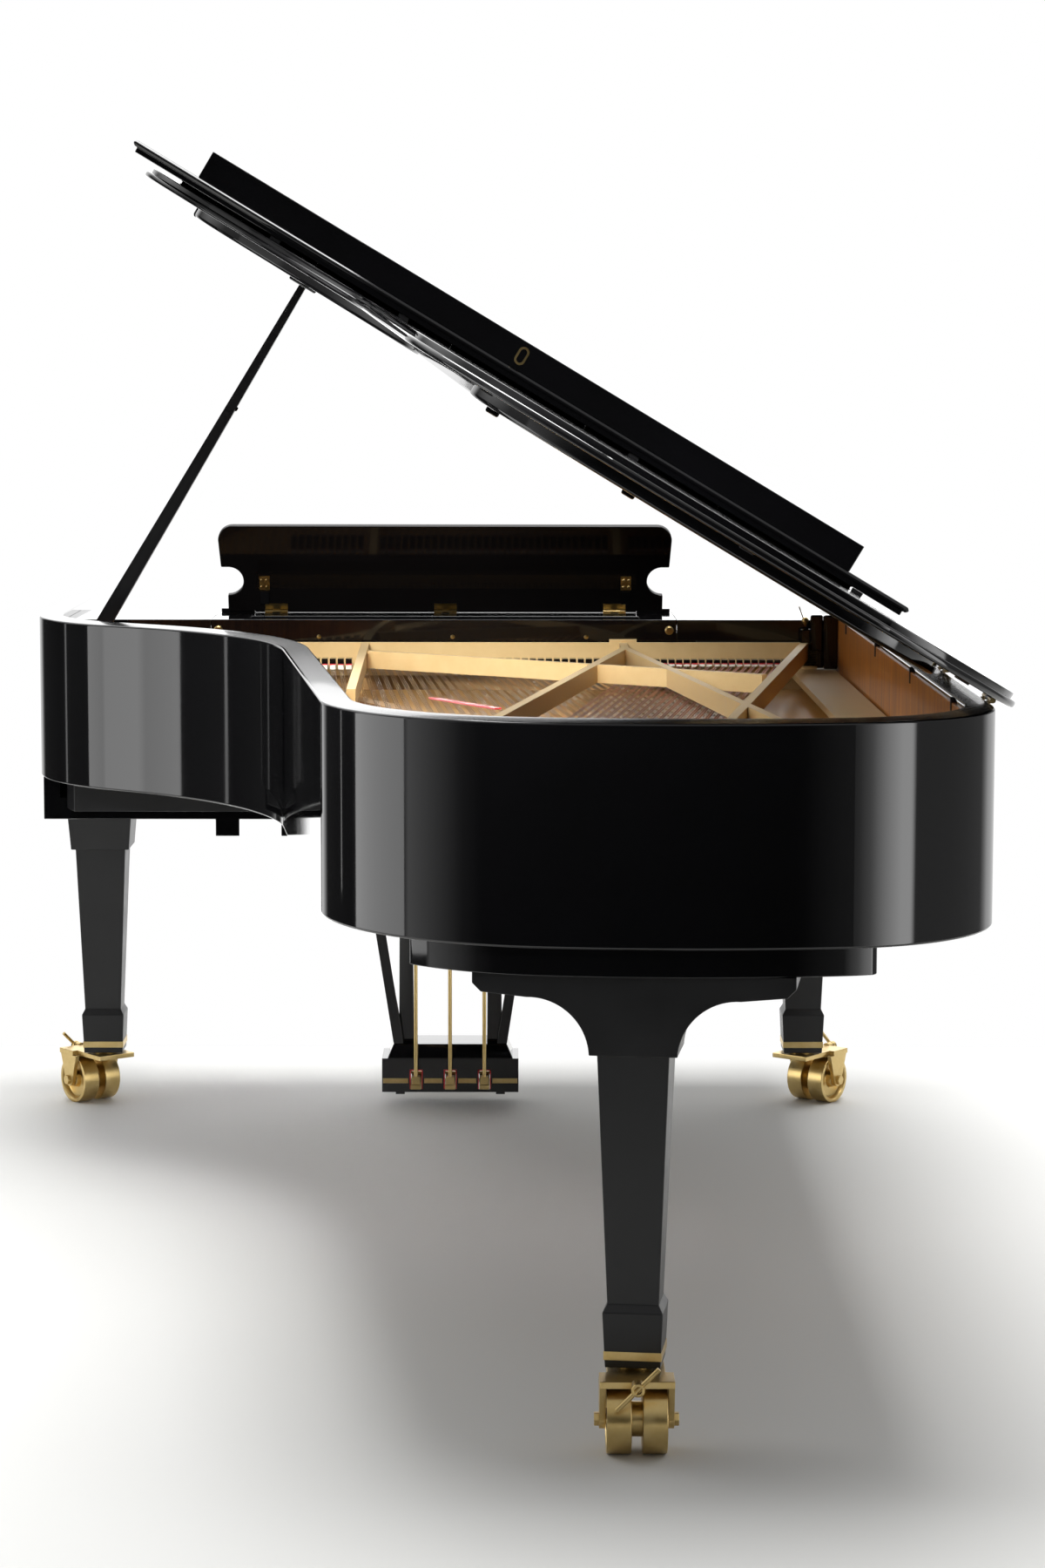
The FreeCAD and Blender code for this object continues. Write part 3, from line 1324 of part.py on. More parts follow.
def build_fork():
    """Fork: swivel stem, top plate, two arms, fixed axle with heads, and the brake's boss."""
    plate_high = leg_bottom - collar_gap - fork_plate_thickness / 3
    plate_low = plate_high - fork_plate_thickness
    plate = box(-fork_plate_front, fork_plate_back, -fork_half, fork_half, plate_low, plate_high)
    collar = Part.makeCylinder(collar_radius, leg_bottom - collar_gap - plate_high, V(0, 0, plate_high), UP)
    stem = Part.makeCylinder(stem_radius - stem_clear, leg_bottom + stem_reach - plate_high,
                             V(0, 0, plate_high), UP)
    pieces = [plate, collar, stem]
    for side in (-1, 1):
        y = side * fork_half if side < 0 else fork_half - fork_arm
        back = caster_offset - fork_arm_wide / 2
        arm = prism([V(back, y, plate_low), V(back + fork_arm_wide, y, plate_low),
                     V(caster_offset + fork_arm_foot, y, axle_z), V(caster_offset - fork_arm_foot, y, axle_z)],
                    ALONG_Y * fork_arm)
        foot = Part.makeCylinder(fork_arm_foot, fork_arm, V(caster_offset, y, axle_z), ALONG_Y)
        head = many_sided(6, axle_head_radius, axle_head_length,
                          V(caster_offset, side * fork_half, axle_z), ALONG_Y * side)
        pieces += [arm, foot, head]
    pieces.append(Part.makeCylinder(axle_radius, 2 * fork_half, V(caster_offset, -fork_half, axle_z), ALONG_Y))
    boss_z = plate_high - fork_plate_thickness / 2
    pieces.append(box(fork_plate_back, fork_plate_back + brake_boss_length,
                      -brake_boss_radius, brake_boss_radius,
                      boss_z - brake_boss_radius, boss_z + brake_boss_radius))
    bore = Part.makeCylinder(brake_bore_radius, brake_boss_length, V(fork_plate_back, 0, boss_z), ALONG_X)
    return fuse(pieces).cut(bore)


def build_wheels():
    """Two dished wheels on the fixed axle."""
    wheels = []
    inner = axle_radius + axle_clear
    for side in (-1, 1):
        near, far = wheel_half_gap, wheel_half_gap + wheel_width
        web = near + wheel_web
        outline = [V(inner, near, 0), V(wheel_radius, near, 0), V(wheel_radius, far, 0),
                   V(wheel_radius - wheel_rim, far, 0), V(wheel_radius - wheel_rim, web, 0), V(inner, web, 0)]
        if side < 0:
            outline = [V(point.x, -point.y, 0) for point in outline]
        wheel = Part.Face(Part.makePolygon(outline + outline[:1])).revolve(V(0, 0, 0), ALONG_Y, 360)
        wheel.translate(V(caster_offset, 0, axle_z))
        wheels.append(wheel)
    return Part.makeCompound(wheels)


def build_brake():
    """T-handled brake screw in the boss at the fork plate's trailing edge."""
    boss_z = leg_bottom - collar_gap - fork_plate_thickness / 3 - fork_plate_thickness / 2
    bar_x = fork_plate_back + brake_boss_length + brake_bar_gap
    screw = Part.makeCylinder(brake_bore_radius - brake_screw_clear, brake_screw_reach + brake_bar_gap,
                              V(bar_x - brake_screw_reach - brake_bar_gap, 0, boss_z), ALONG_X)
    turn = math.radians(brake_bar_turn)
    along = V(0, math.cos(turn), math.sin(turn))
    middle = V(bar_x, 0, boss_z)
    bar = rod_between(middle - along * (brake_bar_length / 2), middle + along * (brake_bar_length / 2),
                      brake_bar_radius)
    return fuse([screw, bar])


# Write every node
save("rim", build_rim())
save("rim_lining", ring(rim_wall, rim_wall + lining_thickness, lining_front,
                        web_level, rim_top - lining_top_gap))
save("inner_rim", ring(rim_wall, rim_wall + inner_rim_wall, keybed_back + belly_rail_depth, rim_bottom, board_level))
save("back_frame", *build_back_frame())
save("soundboard", region(rim_wall + board_clear, keybed_back + board_clear, board_level, board_top))
save("soundboard_ribs", *build_ribs())
save("plate_liner", ring(rim_wall + board_clear, rim_wall + liner_width,
                         keybed_back + belly_rail_depth, board_top, web_level))
save("bridges", *build_bridges())
save("iron_plate", build_iron_plate())
save("pin_block", box(-arm_inner + pin_block_clear, arm_inner - pin_block_clear, plate_front, wall_front,
                      web_level - pin_block_thickness, web_level))
save("tuning_pins", *build_tuning_pins())
save("treble_strings", *build_strings(treble_count, treble_first_x, treble_last_x, -treble_fan, 0, string_level,
                                      treble_string_end))
save("bass_strings", *build_strings(bass_count, bass_first_x, bass_last_x, bass_lean + bass_fan, bass_lean,
                                    string_level + bass_lift, bass_string_end))
felt = box(-felt_length / 2, felt_length / 2, -felt_width / 2, felt_width / 2, 0, felt_thickness)
felt.rotate(V(0, 0, 0), UP, felt_turn)
felt.translate(V(felt_x, felt_y, string_level + string_size))
save("string_felt", felt)
save("dampers", *build_dampers())

save("keybed", build_keybed())
slip_front = keybed_front + key_slip_gap
save("key_slip", box(-arm_inner + slide_gap, arm_inner - slide_gap, slip_front, slip_front + key_slip_thickness,
                     keybed_top, keybed_top + key_slip_height))
save("cheek_blocks", build_cheek(-1), build_cheek(1))
save("key_frame", build_key_frame())
white_keys, black_keys = build_keys()
save("white_keys", *white_keys)
save("black_keys", *black_keys)
white_hammers, black_hammers = build_hammers()
save("white_hammers", *white_hammers)
save("black_hammers", *black_hammers)
save("fallboard", build_fallboard())

save("music_shelf", build_shelf())
save("shelf_wings", build_wing(-1), build_wing(1))
save("shelf_fittings", *build_shelf_fittings())
save("music_desk", build_desk())
save("desk_hinges", *build_desk_hinges())

save("lid", build_lid(), build_cup())
save("lid_flap", build_flap())
save("flap_lip", build_lip())
save("lip_escutcheon", build_escutcheon())
case_hinges, lid_hinges = build_lid_hinges()
flap_line_hinge, flap_hinge = build_flap_hinges()
save("case_hinges", *case_hinges)
save("lid_hinges", *lid_hinges, flap_line_hinge)
save("flap_hinges", flap_hinge)
save("lid_fittings", *build_lid_fittings())
save("prop_stick", build_prop())
save("prop_bracket", build_prop_bracket())

leg_treble, leg_bass, leg_tail = build_front_leg(leg_x), build_front_leg(-leg_x), build_tail_leg()
save("front_legs", leg_treble, leg_bass)
save("tail_leg", leg_tail)
save("leg_bands", leg_band(leg_x, leg_y, 0, leg_treble), leg_band(-leg_x, leg_y, 0, leg_bass),
     leg_band(tail_leg_x, tail_leg_y, tail_leg_turn, leg_tail))
save("tail_block", build_tail_block())

save("lyre_box", build_lyre_box())
save("lyre_frame", *build_lyre_frame())
for name, x in zip(("left", "middle", "right"), pedal_places()):
    save("pedal_" + name, build_pedal(x))
    save("rod_" + name, build_rod(x))

fork, wheels, brake = build_fork(), build_wheels(), build_brake()
for name, x, y, turn in (("treble", leg_x, leg_y, caster_turn_treble),
                         ("bass", -leg_x, leg_y, caster_turn_bass),
                         ("tail", tail_leg_x, tail_leg_y, caster_turn_tail)):
    save("fork_" + name, place_caster(fork, x, y, turn))
    save("wheels_" + name, place_caster(wheels, x, y, turn))
    save("brake_" + name, place_caster(brake, x, y, turn))
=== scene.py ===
"""Looks of a black concert grand piano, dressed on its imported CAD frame.

Every length in the size classes is in millimetres, in the frame of the CAD: X to the
player's right, Y from the keyboard to the tail, Z up. Meshes and the studio are in metres.
"""

import json
import logging
from dataclasses import dataclass, field
from enum import Enum
from math import cos, pi, radians, sin, tan
from typing import Callable, Optional, Sequence, Union

import bmesh
import bpy
from mathutils import Matrix, Vector

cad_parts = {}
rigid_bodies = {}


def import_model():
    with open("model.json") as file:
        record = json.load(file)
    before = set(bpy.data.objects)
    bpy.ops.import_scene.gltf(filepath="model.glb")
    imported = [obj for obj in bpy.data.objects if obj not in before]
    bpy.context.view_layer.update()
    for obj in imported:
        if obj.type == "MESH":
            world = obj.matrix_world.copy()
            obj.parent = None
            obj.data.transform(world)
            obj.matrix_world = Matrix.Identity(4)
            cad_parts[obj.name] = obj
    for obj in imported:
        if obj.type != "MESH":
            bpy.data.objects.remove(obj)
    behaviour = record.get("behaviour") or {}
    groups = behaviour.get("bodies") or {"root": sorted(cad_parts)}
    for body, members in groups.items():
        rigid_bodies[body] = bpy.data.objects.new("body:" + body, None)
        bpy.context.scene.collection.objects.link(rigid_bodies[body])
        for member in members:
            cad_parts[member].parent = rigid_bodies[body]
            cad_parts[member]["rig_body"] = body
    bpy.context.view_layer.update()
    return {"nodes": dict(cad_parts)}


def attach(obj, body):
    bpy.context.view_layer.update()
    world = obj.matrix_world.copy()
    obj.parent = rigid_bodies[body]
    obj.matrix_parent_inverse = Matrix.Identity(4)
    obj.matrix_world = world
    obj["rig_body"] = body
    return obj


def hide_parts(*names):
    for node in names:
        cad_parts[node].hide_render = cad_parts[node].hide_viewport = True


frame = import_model()
LOG = logging.getLogger("grand_piano")
MM = 0.001
ORIGIN = Matrix()
# Edges sharper than the first angle are rounded, and those sharper than the second stay crisp.
ROUND_DEG, CRISP_DEG = 28.0, 35.0
Point = tuple[float, float, float]
Pair = tuple[float, float]
Tree, Socket = bpy.types.NodeTree, bpy.types.NodeSocket


class Slot(Enum):
    """Material slots of the record that new pieces take their finish from."""

    LACQUER = "black_lacquer"
    VENEER = "brown_veneer"
    TIMBER = "raw_timber"
    SPRUCE = "spruce"
    BRONZE = "plate_bronze"
    PINS = "steel_pins"
    STEEL = "steel_wire"
    COPPER = "copper_wire"
    RED_FELT = "red_felt"
    DAMPER = "damper_black"
    WHITE_KEY = "key_white"
    BLACK_KEY = "key_black"
    HAMMER = "hammer_felt"
    BRASS = "brass"
    RUBBER = "black_rubber"


class Reach(Enum):
    """What a lamp takes part in."""

    ALL = "all"
    GLOSS = "gloss"
    MATTE = "matte"


def linear(code: str) -> tuple[float, float, float, float]:
    """Turns an sRGB hex colour to linear light.

    Args:
        code: Colour such as "d9ad5c".

    Returns:
        Linear red, green, blue and full alpha.
    """
    parts = [int(code[i:i + 2], 16) / 255 for i in (0, 2, 4)]
    lit = [c / 12.92 if c <= 0.04045 else ((c + 0.055) / 1.055) ** 2.4 for c in parts]
    return lit[0], lit[1], lit[2], 1.0


def add_node(tree: Tree, kind: str, inputs: Optional[dict] = None, **settings: str) -> bpy.types.Node:
    """Adds one shader node.

    Args:
        tree: Node tree to add to.
        kind: Node type, without the prefix that all shader nodes share.
        inputs: Source socket or constant of each input socket.
        settings: Properties of the node.

    Returns:
        The new node.
    """
    node = tree.nodes.new("ShaderNode" + kind)
    for key, value in settings.items():
        setattr(node, key, value)
    for key, value in (inputs or {}).items():
        if isinstance(value, Socket):
            tree.links.new(value, node.inputs[key])
        else:
            node.inputs[key].default_value = value
    return node


def map_range(tree: Tree, source: Socket, ends: Pair, to: Pair = (0.0, 1.0), soft: bool = False) -> Socket:
    """Maps the range of a value to another one.

    Args:
        tree: Node tree to add to.
        source: Socket of the value.
        ends: Both ends of its range.
        to: What they become.
        soft: Whether the change eases in and out.

    Returns:
        The socket of the result.
    """
    names = ("Value", "From Min", "From Max", "To Min", "To Max")
    easing = "SMOOTHSTEP" if soft else "LINEAR"
    inputs = dict(zip(names, (source, *ends, *to)))
    return add_node(tree, "MapRange", inputs, interpolation_type=easing).outputs["Result"]


def reckon(tree: Tree, operation: str, first: Socket, second: Socket) -> Socket:
    """Adds a mathematical operation on two sockets and gives its result."""
    return add_node(tree, "Math", {0: first, 1: second}, operation=operation).outputs["Value"]


def emboss(tree: Tree, texture: bpy.types.Node, strength: float, depth_mm: float) -> None:
    """Gives the surface a fine relief from a texture."""
    bump = add_node(tree, "Bump", {"Height": texture.outputs["Fac"], "Strength": strength,
                                   "Distance": depth_mm * MM})
    tree.links.new(bump.outputs["Normal"], tree.nodes["Principled BSDF"].inputs["Normal"])


@dataclass(frozen=True)
class Finish:
    """A real material and how its surface was made, drawn with shader nodes."""

    name: str
    slot: Slot
    base: str
    shade: str
    rough: Pair
    patch_mm: float
    metallic: float = 0.0
    ior: float = 1.5
    stretch: Point = (1.0, 1.0, 1.0)
    turn_deg: float = 0.0
    # Grain and depth of the fine relief, in mm.
    bump: Pair = (1.0, 0.0)
    coat: float = 0.0
    sheen: float = 0.0
    spread: float = 0.5

    def material(self) -> bpy.types.Material:
        """Gives the material of this finish, made on first use."""
        made = bpy.data.materials.get(self.name)
        return made if made else self._build()

    def _build(self) -> bpy.types.Material:
        """Builds colour patches or grain, roughness and fine relief from real sizes."""
        made = bpy.data.materials.new(self.name)
        made.use_nodes = True
        tree = made.node_tree
        shader = tree.nodes["Principled BSDF"]
        place = add_node(tree, "TexCoord").outputs["Object"]
        turn = (0, 0, radians(self.turn_deg))
        spot = add_node(tree, "Mapping", {"Vector": place, "Rotation": turn, "Scale": self.stretch})
        spot = spot.outputs["Vector"]
        patch = add_node(tree, "TexNoise", {"Vector": spot, "Scale": 1 / (self.patch_mm * MM), "Detail": 6.0,
                                            "Roughness": 0.6}).outputs["Fac"]
        share = map_range(tree, patch, (0.5 - self.spread, 0.5 + self.spread))
        colours = {0: share, 6: linear(self.base), 7: linear(self.shade)}
        colour = add_node(tree, "Mix", colours, data_type="RGBA")
        tree.links.new(colour.outputs[2], shader.inputs["Base Color"])
        tree.links.new(map_range(tree, patch, (0.3, 0.7), self.rough), shader.inputs["Roughness"])
        constants = {"Metallic": self.metallic, "Coat Weight": self.coat, "Coat Roughness": 0.04,
                     "Sheen Weight": self.sheen}
        if self.metallic == 0:
            constants["IOR"] = self.ior
        for socket, value in constants.items():
            shader.inputs[socket].default_value = value
        grain_mm, depth_mm = self.bump
        if depth_mm:
            size = {"Vector": spot, "Scale": 1 / (grain_mm * MM), "Detail": 3.0}
            emboss(tree, add_node(tree, "TexNoise", size), 0.6, depth_mm)
        return made


@dataclass(frozen=True)
class WoundWire(Finish):
    """Core wire wrapped in one winding, whose turns catch the light as fine rings."""

    pitch_mm: float = 3.0

    def _build(self) -> bpy.types.Material:
        """Adds the winding's turns as ridges along the string."""
        made = super()._build()
        tree = made.node_tree
        place = add_node(tree, "TexCoord").outputs["Object"]
        # One turn is about 1 mm, drawn three times as coarse so that it shows in the render.
        scale = 2 * pi / 20 / (self.pitch_mm * MM)
        turns = add_node(tree, "TexWave", {"Vector": place, "Scale": scale}, bands_direction="Y")
        emboss(tree, turns, 0.7, 0.3)
        return made


# Polyester lacquer, sprayed and polished: a deep black with a mirror gloss and a trace of haze.
LACQUER = Finish("polyester_lacquer_polished_black", Slot.LACQUER, "050505", "08080a", (0.035, 0.07), 160,
                 ior=1.55, bump=(2.5, 0.004))
# The same lacquer rubbed down on legs, stick and braces: black, with a broad soft sheen.
SATIN = Finish("polyester_lacquer_rubbed_satin", Slot.LACQUER, "070708", "0d0d0f", (0.34, 0.42), 60,
               bump=(0.8, 0.01))
# The lacquer on the rim's top, wiped dull by cloths: it spreads the light behind into a pale band.
WIPED = Finish("polyester_lacquer_wiped_haze", Slot.LACQUER, "0c0c0d", "101012", (0.2, 0.22), 160,
               ior=2.3, coat=0.35)
# Black stain under thin French polish on the music desk: a gloss that mirrors less than the case.
POLISH = Finish("shellac_french_polished_black", Slot.LACQUER, "060505", "090808", (0.05, 0.09), 140,
                ior=1.3, bump=(2.5, 0.004))
# Bubinga veneer under clear lacquer: amber-brown with upright grain, mirrored softly in its gloss.
# The wood's own index is set against the lacquer that wets it, and the coat carries the gloss.
VENEER = Finish("bubinga_veneer_lacquered", Slot.VENEER, "5e2b0e", "b87838", (0.3, 0.42), 5,
                ior=1.12, stretch=(1, 1, 0.03), coat=0.2, spread=0.16)
# Laminated maple, planed and left plain: pale brown with long grain.
TIMBER = Finish("maple_planed", Slot.TIMBER, "8d6840", "b58f5f", (0.45, 0.6), 4,
                stretch=(1, 0.04, 1), bump=(3, 0.05))
# Spruce board, quarter-sawn and varnished: straight close grain.
SPRUCE = Finish("spruce_quarter_sawn_varnished", Slot.SPRUCE, "b07c3f", "d9ab68", (0.28, 0.4), 5,
                stretch=(1, 0.015, 1), turn_deg=-38, coat=0.3, bump=(3, 0.02))
# Grey iron, sand cast and sprayed with bronze lacquer: a soft gold with a fine cast skin.
BRONZE = Finish("cast_iron_bronze_lacquered", Slot.BRONZE, "cfae78", "e0c48f", (0.4, 0.52), 30,
                metallic=0.3, bump=(1.6, 0.05))
# Yellow brass, turned and brushed satin: a muted gold with broad highlights and handling haze.
BRASS = Finish("yellow_brass_brushed_satin", Slot.BRASS, "c4a768", "dcc48c", (0.28, 0.38), 26,
               metallic=1.0, spread=0.3)
# Brass darkened to a dull brown-black: painted shade on the brass hinges in the lid's fold gaps; the stick's
# catch takes it too.
SHADED_BRASS = Finish("brass_painted_shade", Slot.BRASS, "17130d", "2a2217", (0.3, 0.45), 10,
                     metallic=1.0, bump=(1.5, 0.02))
# High-carbon steel wire, drawn: bright with long draw marks.
STEEL = Finish("music_wire_drawn", Slot.STEEL, "a9a9ab", "d5d5d7", (0.18, 0.3), 20,
               metallic=1.0, stretch=(1, 0.05, 1))
# Blued steel pins, ground: dark grey metal.
BLUED = Finish("steel_pin_blued", Slot.PINS, "54555c", "82838a", (0.25, 0.4), 6, metallic=1.0)
# Copper winding over a steel core: brown-red with ringed highlights.
COPPER = WoundWire("copper_winding", Slot.COPPER, "8a4a2c", "c2774c", (0.28, 0.4), 14, metallic=1.0)
# Wool felt, pressed and dyed red: dull, with a short nap.
RED_FELT = Finish("wool_felt_red", Slot.RED_FELT, "9c1419", "cf2f33", (0.85, 0.95), 2.5,
                  sheen=0.5, bump=(0.8, 0.25))
# Wool felt, pressed and bleached: dull off-white, with a short nap.
WHITE_FELT = Finish("wool_felt_white", Slot.HAMMER, "c9c4b6", "e6e2d6", (0.85, 0.95), 3,
                    sheen=0.4, bump=(0.9, 0.25))
# Cleats under the shelf's wings: hornbeam, stained black and waxed.
STAINED = Finish("hornbeam_stained_black", Slot.LACQUER, "0c0b0b", "1c1a19", (0.3, 0.45), 4,
                 bump=(1.5, 0.03))
# Key tops: mineral-filled acrylic, moulded and buffed to a satin white.
WHITE_KEY = Finish("acrylic_buffed_white", Slot.WHITE_KEY, "e6e1d5", "f1ede3", (0.2, 0.3), 18, ior=1.49)
# Sharps: phenolic resin, moulded and rubbed to a satin black.
BLACK_KEY = Finish("phenolic_rubbed_black", Slot.BLACK_KEY, "0d0d0e", "17171a", (0.28, 0.4), 10,
                   bump=(0.8, 0.01))
# Rests and pads: natural rubber, moulded: dull black.
RUBBER = Finish("rubber_moulded_black", Slot.RUBBER, "101011", "1b1b1c", (0.6, 0.75), 8,
                bump=(0.7, 0.04))


def at(x: float, y: float, z: float, axis: str = "Z", degrees: float = 0.0) -> Matrix:
    """Gives a place that is turned about one of its axes."""
    return Matrix.Translation((x, y, z)) @ Matrix.Rotation(radians(degrees), 4, axis)


@dataclass
class Sketch:
    """Points and faces of a mesh while it is drawn, in millimetres."""

    points: list[Vector] = field(default_factory=list)
    faces: list[tuple[int, ...]] = field(default_factory=list)

    def add(self, points: Sequence[Vector], faces: Sequence[Sequence[int]]) -> None:
        """Adds points and faces that count from the first of them."""
        start = len(self.points)
        self.points.extend(Vector(p) for p in points)
        self.faces.extend(tuple(start + i for i in f) for f in faces)

    def mesh(self, name: str) -> bpy.types.Mesh:
        """Makes a mesh of the sketch, in metres."""
        mesh = bpy.data.meshes.new(name)
        mesh.from_pydata([p * MM for p in self.points], [], self.faces)
        mesh.validate()
        return mesh

    def loft(self, rings: Sequence[Sequence[Vector]]) -> None:
        """Joins closed rings of points in a row and closes both ends."""
        count, last = len(rings[0]), len(rings) - 1
        faces = [tuple(reversed(range(count))), tuple(last * count + k for k in range(count))]
        for low in range(0, last * count, count):
            for k in range(count):
                n = (k + 1) % count
                faces.append((low + k, low + n, low + count + n, low + count + k))
        self.add([p for ring in rings for p in ring], faces)

    def tube(self, start: Vector, end: Vector, radius: float, sides: int = 6,
             tip: Optional[float] = None) -> None:
        """Draws a closed round bar, tapered if a tip radius is given.

        Args:
            start: Middle of the first end.
            end: Middle of the other end.
            radius: Radius at the first end.
            sides: Number of sides.
            tip: Radius at the other end.
        """
        along = (end - start).normalized()
        side = along.orthogonal().normalized()
        other = along.cross(side)
        turns = [2 * pi * i / sides for i in range(sides)]
        ends = ((start, radius), (end, radius if tip is None else tip))
        self.loft([[middle + size * (cos(t) * side + sin(t) * other) for t in turns]
                   for middle, size in ends])

    def lathe(self, profile: Sequence[Pair], place: Matrix, sides: int) -> None:
        """Turns a closed profile of (radius, height) about the Z axis of a place.

        Args:
            profile: Closed outline, anticlockwise with the radius to the right.
            place: Where the axis stands.
            sides: Number of sides.
        """
        count = len(profile)
        points, faces = [], []
        for i in range(sides):
            t = 2 * pi * i / sides
            points += [place @ Vector((r * cos(t), r * sin(t), h)) for r, h in profile]
            a, b = i * count, (i + 1) % sides * count
            for k in range(count):
                n = (k + 1) % count
                faces.append((a + k, b + k, b + n, a + n))
        self.add(points, faces)

    def disc(self, radius: float, low: float, high: float, place: Matrix, sides: int,
             bore: float = 0.0) -> None:
        """Turns a plain cylinder about the Z axis of a place, with a bore if one is given."""
        self.lathe([(bore, low), (radius, low), (radius, high), (bore, high)], place, sides)

    def block(self, low: Sequence[float], high: Sequence[float], place: Matrix = ORIGIN) -> None:
        """Draws a block between two corners, in a place."""
        (x0, x1), (y0, y1), heights = zip(low, high)
        corners = ((x0, y0), (x1, y0), (x1, y1), (x0, y1))
        self.loft([[place @ Vector((x, y, z)) for x, y in corners] for z in heights])


def place_object(name: str, data: bpy.types.ID) -> bpy.types.Object:
    """Makes an object of some data and puts it in the scene."""
    made = bpy.data.objects.new(name, data)
    bpy.context.scene.collection.objects.link(made)
    return made


def round_edges(mesh: bpy.types.Mesh, width_mm: float) -> None:
    """Joins the facets of flat faces and rounds the sharp edges.

    Args:
        mesh: Mesh in metres.
        width_mm: Width of the rounding.
    """
    work = bmesh.new()
    work.from_mesh(mesh)
    bmesh.ops.remove_doubles(work, verts=work.verts, dist=1e-6)
    bmesh.ops.dissolve_limit(work, angle_limit=radians(0.5), verts=work.verts, edges=work.edges)
    least = radians(ROUND_DEG)
    sharp = [e for e in work.edges if len(e.link_faces) == 2 and e.calc_face_angle(0) > least]
    bmesh.ops.bevel(work, geom=sharp, offset=width_mm * MM, offset_type="OFFSET", segments=2,
                    profile=0.5, affect="EDGES", clamp_overlap=True)
    bmesh.ops.recalc_face_normals(work, faces=work.faces)
    work.to_mesh(mesh)
    work.free()


def add_piece(name: str, shape: Union[Sketch, bpy.types.Mesh], finish: Finish, body: str,
              edge_mm: float = 0.0, stands_for: str = "", slot: Optional[Slot] = None) -> None:
    """Makes a piece and gives it its finish and its body.

    Args:
        name: Name of the piece.
        shape: Its sketch or mesh.
        finish: Its finish.
        body: CAD body that it rides on.
        edge_mm: Width of rounded edges, or 0 for none.
        stands_for: CAD node that it replaces, or "" for none.
        slot: Slot of the record, if it isn't the finish's own; it is worked out but not used.
    """
    mesh = shape.mesh(name) if isinstance(shape, Sketch) else shape
    if edge_mm:
        round_edges(mesh, edge_mm)
    mesh.shade_smooth()
    mesh.set_sharp_from_angle(angle=radians(CRISP_DEG))
    mesh.materials.clear()
    mesh.materials.append(finish.material())
    piece = place_object(name, mesh)
    piece.modifiers.new("even_faces", "WEIGHTED_NORMAL").keep_sharp = True
    slot = slot or finish.slot
    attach(piece, body)
    if stands_for:
        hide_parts(stands_for)
    LOG.info("%s on %s", piece.name, body)


def dress(node: str, finish: Finish, edge_mm: float, slot: Optional[Slot] = None,
          shift: Optional[Callable[[Vector], Vector]] = None) -> None:
    """Stands a copy with rounded edges in a CAD node's place.

    Args:
        node: CAD node.
        finish: Finish of the copy.
        edge_mm: Width of the rounded edges.
        slot: Slot of the record, if it isn't the finish's own.
        shift: Gives each point of the copy its new place, in mm.
    """
    mesh = frame["nodes"][node].data.copy()
    mesh.name = node + "_dressed"
    if shift is not None:
        for vertex in mesh.vertices:
            vertex.co = shift(vertex.co / MM) * MM
    add_piece(node + "_dressed", mesh, finish, frame["nodes"][node]["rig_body"], edge_mm, node, slot)


def paint(finish: Finish, *nodes: str) -> None:
    """Gives CAD nodes that stay their finish."""
    for node in nodes:
        mesh = frame["nodes"][node].data
        mesh.materials.clear()
        mesh.materials.append(finish.material())
        LOG.info("%s painted", node)


